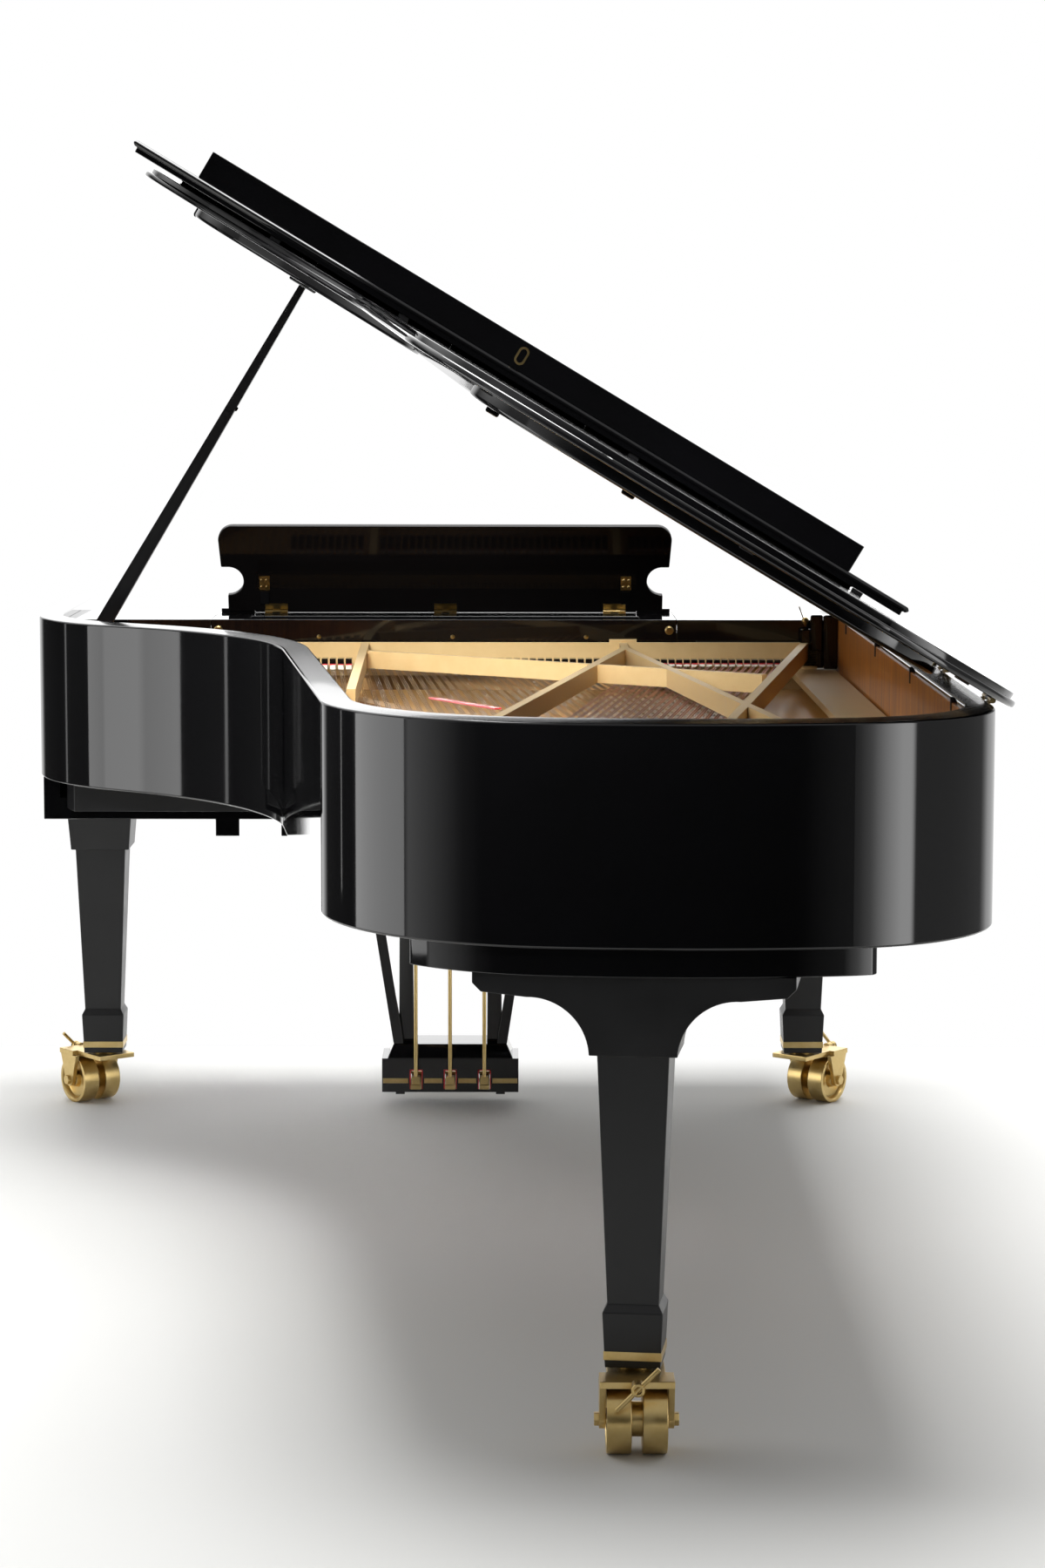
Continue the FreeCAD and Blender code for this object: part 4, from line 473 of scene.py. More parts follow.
@dataclass(frozen=True)
class CaseOutline:
    """Plan of the case: straight arms and spine joined by tangent arcs."""

    width: float = 1562.0
    length: float = 2740.0
    shoulder_start: float = 554.0
    waist_run_share: float = 0.052
    # Angles at which shoulder, waist, tail's treble corner and tail's end stop.
    turns_deg: tuple[float, ...] = (52.0, 6.6, 80.0, 100.0)
    # Radii of shoulder, waist, tail's treble corner and tail's end, as shares of the width.
    radius_shares: tuple[float, ...] = (0.26, 0.5, 0.237, 0.77)

    @staticmethod
    def polar(centre: Vector, radius: float, angle: float) -> Vector:
        """Gives a point on a circle in plan."""
        return Vector((centre.x + radius * cos(angle), centre.y + radius * sin(angle), 0))

    def arcs(self) -> list[tuple[Vector, float, float, float, int]]:
        """Works out the arcs in order.

        Returns:
            Centre, signed radius, first angle, last angle and steps of each arc.
        """
        half = self.width / 2
        t1, t2, tb, tc = (radians(a) for a in self.turns_deg)
        r1, r2, ra, rb = (share * self.width for share in self.radius_shares)
        shoulder = Vector((half - r1, self.shoulder_start, 0))
        run = Vector((-sin(t1), cos(t1), 0)) * (self.waist_run_share * self.width)
        waist = self.polar(self.polar(shoulder, r1, t1) + run, r2, t1)
        bent = self.polar(waist, -r2, t2)
        y4 = self.length - rb * (1 - sin(tb)) - ra * (sin(tb) - sin(t2))
        treble = self.polar(Vector((bent.x - (y4 - bent.y) * tan(t2), y4, 0)), -ra, t2)
        end = self.polar(self.polar(treble, ra, tb), -rb, tb)
        stop = self.polar(end, rb, tc)
        rc = (stop.x + half) / (1 + cos(tc))
        bass = self.polar(stop, -rc, tc)
        return [(shoulder, r1, 0, t1, 40), (waist, -r2, t1, t2, 44), (treble, ra, t2, tb, 50),
                (end, rb, tb, tc, 24), (bass, rc, tc, pi, 50)]

    def line(self, inset: float, front: float = 0.0) -> list[Vector]:
        """Samples the plan moved inwards, from the treble front round to the bass front.

        Args:
            inset: Distance inwards from the case's outside.
            front: Y of both front ends.

        Returns:
            Points in plan, the same number for every inset.
        """
        half = self.width / 2 - inset
        points = [Vector((half, front, 0))]
        for centre, radius, first, last, steps in self.arcs():
            for i in range(steps + 1):
                points.append(self.polar(centre, radius - inset, first + (last - first) * i / steps))
        points.append(Vector((-half, front, 0)))
        return points

    def crossing(self, start: Vector, along: Vector, inset: float) -> float:
        """Finds how far a line in plan runs before it meets the inset plan.

        Args:
            start: First point of the line.
            along: Unit direction.
            inset: Inset of the plan.

        Returns:
            Distance to the first meeting.
        """
        best = 1e9
        line = self.line(inset, start.y - 1)
        for a, b in zip(line, line[1:]):
            edge = b - a
            cross = along.x * edge.y - along.y * edge.x
            if abs(cross) < 1e-9:
                continue
            gap = a - start
            run = (gap.x * edge.y - gap.y * edge.x) / cross
            share = (gap.x * along.y - gap.y * along.x) / cross
            if run > 1 and 0 <= share <= 1:
                best = min(best, run)
        return best


PLAN = CaseOutline()


def band(profile: Sequence[Pair], front: float) -> Sketch:
    """Sweeps a closed profile of (inset, height) round the case, open at the keyboard.

    Args:
        profile: Closed outline of the band's section.
        front: Y of both ends.

    Returns:
        The band with capped ends.
    """
    sketch = Sketch()
    lines = [[Vector((p.x, p.y, z)) for p in PLAN.line(inset, front)] for inset, z in profile]
    sketch.loft(list(zip(*lines)))
    return sketch


def rounded_corner(inset: float, height: float, radius: float, first: float, last: float,
                   steps: int = 4) -> list[Pair]:
    """Samples a quarter round of a section, by its centre and its angles in degrees."""
    angles = [radians(first + (last - first) * i / steps) for i in range(steps + 1)]
    return [(inset + radius * cos(t), height + radius * sin(t)) for t in angles]


@dataclass
class CaseWork:
    """Rim, lining, frame timbers and the fixed black panels."""

    top: float = 1004.0
    bottom: float = 700.0
    wall: float = 44.0
    edge: float = 4.0
    crown: float = 2.8
    cap: float = 0.8
    lining: float = 3.0
    lining_low: float = 886.0
    lining_drop: float = 8.0
    lining_front: float = 566.0
    # Low and high corners of the blocks in the corner of spine and front wall.
    corners: tuple[tuple[Point, Point], ...] = (
        ((-733.5, 571.5, 900.0), (-706.0, 600.0, 1003.0)),
        ((-705.5, 571.5, 934.0), (-682.0, 592.0, 1003.0)),
        ((-733.5, 557.0, 899.5), (-664.0, 570.0, 975.0)))
    pad_places: tuple[float, ...] = (759.0, 1297.0, 1836.0, 2365.0)
    pad_x: Pair = (-738.5, -732.5)
    pad_half: float = 5.0
    pad_z: Pair = (978.0, 1003.8)

    def rim(self) -> None:
        """Sweeps the bent rim with rounded edges and lays the dull cap on its crowned top."""
        e, top, inner = self.edge, self.top, self.wall - self.edge
        crown = [(14, top - 1.7), (24, top - 0.8), (33, top - 0.2)]
        section = [*rounded_corner(e, self.bottom + e, e, 270, 180),
                   *rounded_corner(e, top - self.crown - e, e, 180, 90),
                   *((inset, height - self.cap) for inset, height in crown),
                   *rounded_corner(inner, top - e, e, 80, 0, 5), (self.wall, self.bottom)]
        add_piece("bent_rim", band(section, 0), LACQUER, "case", stands_for="rim")
        out, low, far = e + 0.5, top - self.crown, inner + 0.6
        cap = [(out, low - 0.6), (out, low + 0.05), *crown, (far, top), (far, top - 1.5)]
        add_piece("rim_cap", band(cap, 0.5), WIPED, "case")

    def inside(self) -> None:
        """Lines the rim above the plate with veneer."""
        near, far, high = self.wall, self.wall + self.lining, self.top - self.lining_drop
        section = [(near, self.lining_low), (near, high), (far - 1, high), (far, high - 1),
                   (far, self.lining_low)]
        add_piece("rim_veneer", band(section, self.lining_front), VENEER, "case", stands_for="rim_lining")

    def corner(self) -> None:
        """Stands blocks between spine, shelf wing and plate wall, and pads along the spine."""
        blocks, pads = Sketch(), Sketch()
        for low, high in self.corners:
            blocks.block(low, high)
        for y in self.pad_places:
            pads.block((self.pad_x[0], y - self.pad_half, self.pad_z[0]),
                       (self.pad_x[1], y + self.pad_half, self.pad_z[1]))
        add_piece("spine_corner_blocks", blocks, LACQUER, "case", 4.0)
        add_piece("spine_pads", pads, RUBBER, "case", 1.0)

    def build(self) -> None:
        """Builds the case and dresses its plain nodes."""
        self.rim()
        self.inside()
        self.corner()
        for node in ("keybed", "key_slip", "cheek_blocks", "shelf_wings", "tail_block"):
            dress(node, LACQUER, 1.5)
        dress("prop_bracket", LACQUER, 0.8)
        paint(TIMBER, "inner_rim", "pin_block", "plate_liner")
        dress("back_frame", SATIN, 1.5, Slot.TIMBER)
        paint(SPRUCE, "soundboard", "soundboard_ribs")


@dataclass
class StringWork:
    """Iron plate, strings, pins, bridges, felts and dampers."""

    wall_back: float = 570.0
    wall_front: float = 556.0
    web_top: float = 898.0
    level: float = 904.0
    bass_level: float = 910.0
    inset: float = 128.0
    bass_count: int = 20
    treble_count: int = 68
    bass_x: Pair = (-640.0, -372.0)
    treble_x: Pair = (-352.0, 640.0)
    bass_deg: Pair = (7.9, 8.4)
    treble_deg: Pair = (-8.0, 0.0)
    bass_end: float = 2410.0
    treble_end: float = 2160.0
    steel_radius: float = 0.62
    hitch_radius: float = 1.6
    pin_y: float = 392.0
    pin_low: float = 880.0
    pin_tall: float = 40.0
    row_step: float = 32.0
    wire_step: Pair = (5.0, 14.0)
    damper_y: float = 662.0
    damper_low: float = 905.3
    damper_half: float = 5.8
    damper_reach: float = 17.0
    damper_last_x: float = 330.0
    bars: tuple[float, ...] = (161.8, -327.0, -657.8)
    bolt_inset: float = 92.0
    bolt_row: float = 362.0
    no_bolts: Pair = (400.0, 600.0)

    @staticmethod
    def fan(count: int, places: Pair, turns: Pair) -> list[Pair]:
        """Spreads the notes of one section.

        Args:
            count: Number of notes.
            places: X of the first and the last note at the front wall.
            turns: Lean of the first and the last note, in degrees.

        Returns:
            X and lean in radians of each note.
        """
        steps = [i / (count - 1) for i in range(count)]
        return [(places[0] + (places[1] - places[0]) * s,
                 radians(turns[0] + (turns[1] - turns[0]) * s)) for s in steps]

    def bass(self) -> list[Pair]:
        """Gives X and lean of each bass note."""
        return self.fan(self.bass_count, self.bass_x, self.bass_deg)

    def treble(self) -> list[Pair]:
        """Gives X and lean of each treble note."""
        return self.fan(self.treble_count, self.treble_x, self.treble_deg)

    def strings(self) -> None:
        """Draws each wire from the plate's front wall to its hitch pin."""
        steel, copper, hitches = Sketch(), Sketch(), Sketch()
        sets = [(copper, self.bass(), self.bass_level, self.bass_end, 2, 4.2),
                (steel, self.treble(), self.level, self.treble_end, 3, 3.4)]
        for sketch, notes, level, end, wires, gap in sets:
            for number, (x, turn) in enumerate(notes):
                along = Vector((sin(turn), cos(turn), 0))
                # Wound wires get thinner from note to note.
                radius = 1.5 - 0.03 * number if sketch is copper else self.steel_radius
                for wire in range(wires):
                    start = Vector((x + (wire - (wires - 1) / 2) * gap, self.wall_back, level))
                    run = min(PLAN.crossing(start, along, self.inset), (end - self.wall_back) / along.y)
                    stop = start + along * run
                    foot, head = (Vector((stop.x, stop.y, z)) for z in (self.web_top, level + 4))
                    sketch.tube(start, stop, radius)
                    hitches.tube(foot, head, self.hitch_radius, 8)
        add_piece("steel_strings", steel, STEEL, "case", stands_for="treble_strings")
        add_piece("wound_strings", copper, COPPER, "case", stands_for="bass_strings")
        add_piece("hitch_pins", hitches, BLUED, "case")

    def pins(self) -> None:
        """Draws tuning pins with their wire coils and the lead to the front wall."""
        pins, leads = Sketch(), Sketch()
        notes = self.bass_count + self.treble_count
        for number in range(notes):
            first = self.bass_x[0] + (self.treble_x[1] - self.bass_x[0]) * number / (notes - 1)
            for wire in range(2):
                x = first + self.wire_step[0] * wire
                y = self.pin_y + self.row_step * (number % 4) + self.wire_step[1] * wire
                spot = Vector((x, y, self.pin_low))
                pins.tube(spot, spot + Vector((0, 0, self.pin_tall)), 3.4, 8, 2.6)
                leads.tube(spot + Vector((3, 0, 24)), Vector((x + 3, self.wall_front, 905)), 0.6, 5)
                for turn in range(3):
                    ring = spot + Vector((0, 0, 20 + 1.8 * turn))
                    leads.tube(ring, ring + Vector((0, 0, 1.3)), 4.2, 8)
        add_piece("pins_coiled", pins, BLUED, "case", stands_for="tuning_pins")
        add_piece("pin_leads", leads, STEEL, "case")

    def dampers(self) -> None:
        """Draws black heads over red cloth and white felt, one to a note."""
        heads, cloth, felt = Sketch(), Sketch(), Sketch()
        half, reach = self.damper_half, self.damper_reach
        for notes, lift in ((self.bass(), 6.0), (self.treble(), 0.0)):
            tall = 0.0 if lift else 4.0
            layers = ((felt, 0.4, 0, 4.5 + tall), (cloth, 0, 4.5 + tall, 6.5 + tall),
                      (heads, 0, 6.5 + tall, 13 + 1.8 * tall))
            for x, turn in notes:
                x += tan(turn) * (self.damper_y - self.wall_back)
                near = any(abs(x - bar) < 15 for bar in self.bars)
                if near or x > self.damper_last_x or (lift == 0 and x < self.bass_x[1] + 30):
                    continue
                place = at(x, self.damper_y, self.damper_low + lift)
                for sketch, trim, low, high in layers:
                    sketch.block((trim - half, -reach, low), (half - trim, reach, high), place)
        add_piece("damper_heads", heads, LACQUER, "dampers", 0.8, "dampers", Slot.DAMPER)
        add_piece("damper_cloth", cloth, RED_FELT, "dampers")
        add_piece("damper_felt", felt, WHITE_FELT, "dampers", 0.6)

    def agraffes(self) -> None:
        """Sets a brass stud for each note where its wires pass the plate's front wall."""
        studs = Sketch()
        stud = [(0, 0), (5.2, 0), (5.2, 3), (4.2, 3.6), (4.2, 11), (2.6, 12.6), (0, 13)]
        for x, _ in self.treble() + self.bass():
            studs.lathe(stud, at(x, self.wall_back + 7, self.web_top), 12)
        add_piece("agraffe_studs", studs, BRASS, "case")

    def plate_bolts(self) -> None:
        """Sets domed bolt heads round the plate's flange and along its front."""
        bolts = Sketch()
        dome = [(0, 0), (11, 0), (11, 2), (9, 5), (5, 7.4), (0, 8)]
        line = PLAN.line(self.bolt_inset)
        spots = [line[i] for i in range(12, len(line) - 4, 16)]
        spots += [Vector((x, self.bolt_row, 0)) for x in range(-640, 641, 160)]
        for spot in spots:
            if not self.no_bolts[0] <= spot.y <= self.no_bolts[1]:
                bolts.lathe(dome, at(spot.x, spot.y, self.web_top), 16)
        add_piece("plate_bolts", bolts, BRONZE, "case")

    def build(self) -> None:
        """Builds the sounding parts."""
        dress("iron_plate", BRONZE, 3.0)
        dress("bridges", TIMBER, 1.5)
        dress("string_felt", RED_FELT, 0.8)
        self.strings()
        self.pins()
        self.dampers()
        self.plate_bolts()
        self.agraffes()


class KeyWork:
    """Keys, hammers, key frame and fallboard."""

    def build(self) -> None:
        """Dresses the keyboard and the action."""
        dress("white_keys", WHITE_KEY, 0.8)
        dress("black_keys", BLACK_KEY, 1.2)
        dress("fallboard", LACQUER, 2.0)
        paint(TIMBER, "key_frame")
        paint(WHITE_FELT, "white_hammers", "black_hammers")


@dataclass
class DeskWork:
    """Music shelf, desk panel and their brass."""

    centre: float = 14.0
    hinge_y: float = 372.0
    hinge_z: float = 994.0
    lean_deg: float = 19.0
    strut_x: float = 352.0
    shelf_back: float = 545.0
    shelf_half: float = 444.0
    knob_in: float = 14.0
    knob_z: float = 970.0
    screw_places: Point = (-257.5, -2.5, 252.5)
    screw_z: float = 957.0
    wing_end: float = 668.0
    ledge_inset: float = 69.5
    ball: Point = (-675.0, 552.0, 982.0)
    ball_radius: float = 7.0

    def struts(self) -> None:
        """Hangs a black strut with its brass rack at each end of the desk's back."""
        place = at(self.centre, self.hinge_y, self.hinge_z, "X", -self.lean_deg)
        bars, racks = Sketch(), Sketch()
        button = [(0, 0), (3, 0), (3, 1.4), (2, 2.6), (0, 3)]
        for x in (-self.strut_x, self.strut_x):
            bars.block((x - 9, -3.2, 16), (x + 9, 2.5, 44), place)
            racks.block((x - 10, -3.3, 45), (x + 10, -0.8, 74), place)
            for z in (52, 66):
                for across in (-5, 5):
                    racks.lathe(button, place @ at(x + across, -1.0, z, "X", -90), 12)
        add_piece("desk_struts", bars, LACQUER, "music_desk", 1.2)
        add_piece("desk_racks", racks, BRASS, "music_desk")

    def ledges(self) -> None:
        """Adds the cleats under the shelf's wings and the ends of the desk's ledge."""
        cleats, ledges = Sketch(), Sketch()
        for side in (-1, 1):
            ends = (side * (self.shelf_half - 4), side * (self.shelf_half - self.ledge_inset))
            ledges.block((self.centre + min(ends), 319, 989.8), (self.centre + max(ends), 337, 998))
            ends = (side * (self.shelf_half + 24), side * self.wing_end)
            cleats.block((min(ends), 536, 938), (max(ends), 544, 951))
        add_piece("wing_cleats", cleats, STAINED, "case", 1.0)
        add_piece("ledge_ends", ledges, LACQUER, "music_shelf", 1.5)

    def knobs(self) -> None:
        """Turns the shelf's knobs, the round screw heads along its tail rail and the wing's ball."""
        knobs, screws, ball = Sketch(), Sketch(), Sketch()
        knob = [(0, 0), (8.4, 0), (8.4, 2), (7.3, 3), (7.3, 12.2), (6.2, 13.4), (0, 14)]
        screw = [(0, 0), (4.4, 0), (4, 1.2), (2.4, 2.2), (0, 2.6)]
        for side in (-1, 1):
            x = self.centre + side * (self.shelf_half - self.knob_in)
            knobs.lathe(knob, at(x, self.shelf_back, self.knob_z, "X", -90), 24)
        for x in self.screw_places:
            screws.lathe(screw, at(x, self.shelf_back, self.screw_z, "X", -90), 16)
        r, turns = self.ball_radius, [radians(t) for t in range(0, 181, 20)]
        ball.lathe([(r * sin(t), r - r * cos(t)) for t in turns], at(*self.ball), 16)
        foot = Vector(self.ball)
        ball.tube(foot + Vector((2, 0, 6)), foot + Vector((12, 0, 34)), 1.1, 8)
        ball.tube(foot - Vector((0, 6.8, 0)), foot, 2.4, 10)
        add_piece("shelf_knobs", knobs, BRASS, "music_shelf")
        add_piece("rail_screws", screws, BRASS, "music_shelf")
        add_piece("wing_ball", ball, BRASS, "case")

    def build(self) -> None:
        """Dresses the desk and adds its fittings."""
        dress("music_shelf", LACQUER, 1.5)
        dress("music_desk", POLISH, 2.5)
        paint(BRASS, "shelf_fittings", "desk_hinges")
        self.struts()
        self.ledges()
        self.knobs()


@dataclass
class LidWork:
    """Main lid, folded flap, lip, stick and hinges."""

    angle_deg: float = 31.0
    hinge: Pair = (-787.0, 1002.7)
    overhang: float = 22.0
    low: float = 1007.0
    step: float = 11.0
    thick: float = 20.0
    step_in: float = 9.0
    front: float = 530.5
    front_round: float = 4.0
    panel: float = 18.0
    panel_inset: float = 95.0
    panel_front: float = 592.0
    cup: float = 24.0
    cup_half: float = 28.0
    # The stick's head: along the raised lid from the hinge, down from it, and its Y.
    head: Point = (1435.0, 17.7, 735.0)
    bumpers: Pair = (20.0, -216.0)
    bumper_y: float = 2035.0
    bumper_half: Pair = (11.0, 13.0)
    bumper_tall: float = 12.0
    catch: Point = (398.5, 735.0, 1394.5)
    catch_deg: float = -124.0
    rest_limit: float = 650.0
    rest_shift: float = 205.0

    def raised(self) -> Matrix:
        """Gives the turn that lifts the closed lid on to its stick."""
        x, z = self.hinge
        return at(x, 0, z, "Y", -self.angle_deg) @ at(-x, 0, -z)

    def slab(self, layers: Sequence[Pair], front: float) -> Sketch:
        """Stacks closed outlines of the case's plan.

        Args:
            layers: Inset and height of each outline, from the underside to the top.
            front: Y of the widest outline's straight front.

        Returns:
            The closed slab, raised on the stick.
        """
        sketch, turn, rings = Sketch(), self.raised(), []
        edge = min(inset for inset, _ in layers)
        for inset, z in layers:
            line = PLAN.line(inset, front + min(inset - edge, self.front_round))
            rings.append([turn @ Vector((p.x, p.y, z)) for p in line])
        sketch.loft(rings)
        return sketch

    def main_lid(self) -> None:
        """Builds the lid's two layers, the panel under them, the stick's cup and the bumpers."""
        out, low, mid, top = -self.overhang, self.low, self.low + self.step, self.low + self.thick
        inner = out + self.step_in
        layers = [(out + 4, low), (out + 2, low + 0.5), (out + 0.5, low + 2), (out, low + 4),
                  (out, mid - 4), (out + 0.5, mid - 2), (out + 2, mid - 0.5), (out + 4, mid),
                  (inner, mid), (inner, top - 2), (inner + 0.6, top - 0.6), (inner + 2, top)]
        add_piece("lid_board", self.slab(layers, self.front), LACQUER, "lid", stands_for="lid")
        edge, base = self.panel_inset, low - self.panel
        under = [(edge + 6, base), (edge + 3, base + 0.8), (edge + 0.8, base + 3), (edge, base + 6),
                 (edge, low)]
        add_piece("lid_panel", self.slab(under, self.panel_front), LACQUER, "lid")
        cup, turn, half = Sketch(), radians(self.angle_deg), self.cup_half
        reach, drop, y = self.head
        x = self.hinge[0] + reach * cos(turn) - drop * sin(turn)
        cup.block((x - half, y - half, low - self.cup), (x + half, y + half, base), self.raised())
        wide, deep = self.bumper_half
        for x in self.bumpers:
            cup.block((x - wide, self.bumper_y - deep, base - self.bumper_tall),
                      (x + wide, self.bumper_y + deep, base), self.raised())
        add_piece("stick_cup", cup, LACQUER, "lid", 3.0)

    def stick_catch(self) -> None:
        """Turns the small headed catch on the stick's bass side."""
        catch = Sketch()
        profile = [(0, -3), (2.6, -3), (2.6, 3.5), (4.2, 4.5), (4.2, 8), (3, 9.2), (0, 9.5)]
        catch.lathe(profile, at(*self.catch, "Y", self.catch_deg), 16)
        add_piece("stick_catch", catch, SHADED_BRASS, "stick")

    def seat(self, spot: Vector) -> Vector:
        """Draws the flap's last rubber rest in from the lid's curved edge."""
        turn = self.raised()
        flat = turn.inverted() @ spot
        if flat.x > self.rest_limit and flat.z > self.low + self.thick - 1:
            flat.x -= self.rest_shift
        return turn @ flat

    def build(self) -> None:
        """Builds the lid and dresses what rides on it."""
        self.main_lid()
        self.stick_catch()
        dress("lid_flap", LACQUER, 1.5)
        dress("flap_lip", LACQUER, 1.5)
        dress("prop_stick", SATIN, 1.5)
        paint(BRASS, "case_hinges", "lip_escutcheon")
        # The hinges are brass; the dark finish on them is painted shade for the fold gaps they sit in.
        paint(SHADED_BRASS, "lid_hinges", "flap_hinges")
        dress("lid_fittings", RUBBER, 1.0, shift=self.seat)


@dataclass
class LegWork:
    """Legs with their brass bands, and the three casters."""

    wheel_radius: float = 47.0
    wheel_width: float = 34.0
    bore: float = 8.06
    half_gap: float = 7.5
    offset: float = 58.0
    fork_low: float = 97.4
    fork_high: float = 107.4
    fork_half: float = 51.0
    cheek_in: float = 42.4
    collar_top: float = 110.6
    stem_top: float = 148.0
    boss_x: float = 91.0
    bar_x: float = 113.0
    bar_z: float = 102.4
    # Name, X and Y of each swivel, and the direction in degrees in which the caster trails.
    casters: tuple[tuple[str, float, float, float], ...] = (
        ("treble", 697.0, 292.0, -52.0), ("bass", -697.0, 292.0, 232.0), ("tail", -283.0, 2612.0, 90.0))

    def fork(self, name: str, place: Matrix) -> None:
        """Builds one fork: head, cheeks that taper to the axle, axle heads, collar, stem and brake boss.

        Args:
            name: Which caster.
            place: Its swivel on the floor, turned the way it trails.
        """
        fork = Sketch()
        low, high, r, half = self.fork_low, self.fork_high, self.wheel_radius, self.fork_half
        inner, outer, rise, stem = self.cheek_in - 0.2, half + 0.2, self.collar_top, self.stem_top
        fork.block((-44, -40, low + 0.4), (44, 40, high - 0.4), place)
        fork.block((42, -half, low), (92, half, high), place)
        cheek = [(30, low + 1), (88, low + 1), (71, r), (45, r)]
        for side in (-1, 1):
            ends = sorted((side * self.cheek_in, side * half))
            fork.loft([[place @ Vector((x, y, z)) for x, z in cheek] for y in ends])
            axle = place @ at(self.offset, 0, r, "X", -90 * side)
            fork.disc(13.2, inner, outer, axle, 32)
            fork.disc(10, outer - 1, outer + 6.6, axle, 6)
            fork.disc(8, 0.1, inner + 1, axle, 24)
        collar = [(0, high - 1), (24, high - 1), (24, rise), (9.9, rise), (9.9, stem), (0, stem)]
        fork.lathe(collar, place, 40)
        boss = [(5.03, 0), (9, 0), (9, 15.6), (8, 16), (5.03, 16)]
        fork.lathe(boss, place @ at(self.boss_x, 0, self.bar_z, "Y", 90), 32)
        add_piece("caster_fork_" + name, fork, BRASS, "fork_" + name, 1.0, "fork_" + name)

    def caster(self, name: str, x: float, y: float, turn_deg: float) -> None:
        """Builds one pair of dished wheels, its fork and its brake.

        Args:
            name: Which caster.
            x: X of its swivel.
            y: Y of its swivel.
            turn_deg: Direction in which it trails.
        """
        place = at(x, y, 0, "Z", turn_deg)
        r, w, b, gap = self.wheel_radius, self.wheel_width, self.bore, self.half_gap
        profile = [(b, 0), (r - 2, 0), (r - 0.5, 0.6), (r, 2), (r, w - 2), (r - 0.6, w - 0.5), (r - 2, w),
                   (r - 6, w), (r - 8, w - 1.5), (r - 11, w - 10), (r - 14, w - 11.5), (19, w - 11.5),
                   (16.5, w - 10), (15, w - 1.5), (13.5, w), (b, w)]
        wheels, ring = Sketch(), Sketch()
        for side in (-1, 1):
            wheels.lathe(profile, place @ at(self.offset, side * gap, r, "X", -90 * side), 64)
        wheels.disc(24, 0, 2 * gap, place @ at(self.offset, -gap, r, "X", -90), 48, b)
        add_piece("wheel_pair_" + name, wheels, BRASS, "wheels_" + name, stands_for="wheels_" + name)
        self.fork(name, place)
        dress("brake_" + name, BRASS, 0.8)
        bead = [(5.4, -4), (8.6, -4.5), (9.6, -3), (9.6, 3), (8.6, 4.5), (5.4, 4)]
        ring.lathe(bead, place @ at(self.bar_x, 0, self.bar_z, "Y", 90), 32)
        add_piece("brake_ring_" + name, ring, BRASS, "brake_" + name)

    def build(self) -> None:
        """Builds legs and casters."""
        dress("front_legs", SATIN, 1.6)
        dress("tail_leg", SATIN, 1.6)
        dress("leg_bands", BRASS, 0.3)
        for caster in self.casters:
            self.caster(*caster)


@dataclass
class LyreWork:
    """Pedal lyre with its inlaid box, pedals and rods."""

    middle: float = 6.0
    half: float = 136.0
    back: float = 330.0
    band_low: float = 50.0
    band_high: float = 60.0
    pitch: float = 68.0
    slot_half: float = 13.0
    felt_low: float = 38.3
    felt_high: float = 77.7
    felt_thick: float = 2.0
    felt_deep: float = 30.0

    def inlay(self) -> None:
        """Lays the brass line across the box's tail face, broken at the slots, with felt in them."""
        line, felt, thick = Sketch(), Sketch(), self.felt_thick
        stops = [self.middle - self.half + 2]
        for step in (-1, 0, 1):
            x = self.middle + self.pitch * step
            left, right = x - self.slot_half, x + self.slot_half
            stops += [left - 3, right + 3]
            strips = ((left, left + thick, self.felt_low), (right - thick, right, self.felt_low),
                      (left, right, self.felt_high - 2.2))
            for start, end, low in strips:
                felt.block((start, self.back - self.felt_deep, low), (end, self.back + 1, self.felt_high))
        stops.append(self.middle + self.half - 2)
        for left, right in zip(stops[::2], stops[1::2]):
            line.block((left, self.back - 0.2, self.band_low), (right, self.back + 0.8, self.band_high))
        add_piece("lyre_inlay", line, BRASS, "case", 0.3)
        add_piece("pedal_slot_felt", felt, RED_FELT, "case")

    def build(self) -> None:
        """Dresses the lyre."""
        dress("lyre_box", LACQUER, 2.0)
        dress("lyre_frame", LACQUER, 1.5)
        for side in ("left", "middle", "right"):
            dress("pedal_" + side, BRASS, 1.5)
            dress("rod_" + side, BRASS, 0.8)
        self.inlay()


@dataclass(frozen=True)
class Lamp:
    """One soft panel, in metres and watts."""

    name: str
    place: Point
    aim: Point
    size: Pair
    power: float
    reach: Reach = Reach.ALL
    spread_deg: float = 180.0

    def hang(self) -> None:
        """Hangs the panel so that it faces its aim."""
        data = bpy.data.lights.new(self.name, "AREA")
        data.spread = radians(self.spread_deg)
        data.shape = "RECTANGLE"
        data.size, data.size_y = self.size
        data.energy = self.power
        lamp = place_object(self.name, data)
        lamp.location = self.place
        facing = Vector(self.aim) - Vector(self.place)
        lamp.rotation_euler = facing.to_track_quat("-Z", "Y").to_euler()
        lamp.visible_diffuse = self.reach is not Reach.GLOSS
        lamp.visible_glossy = self.reach is not Reach.MATTE
        lamp.visible_camera = False


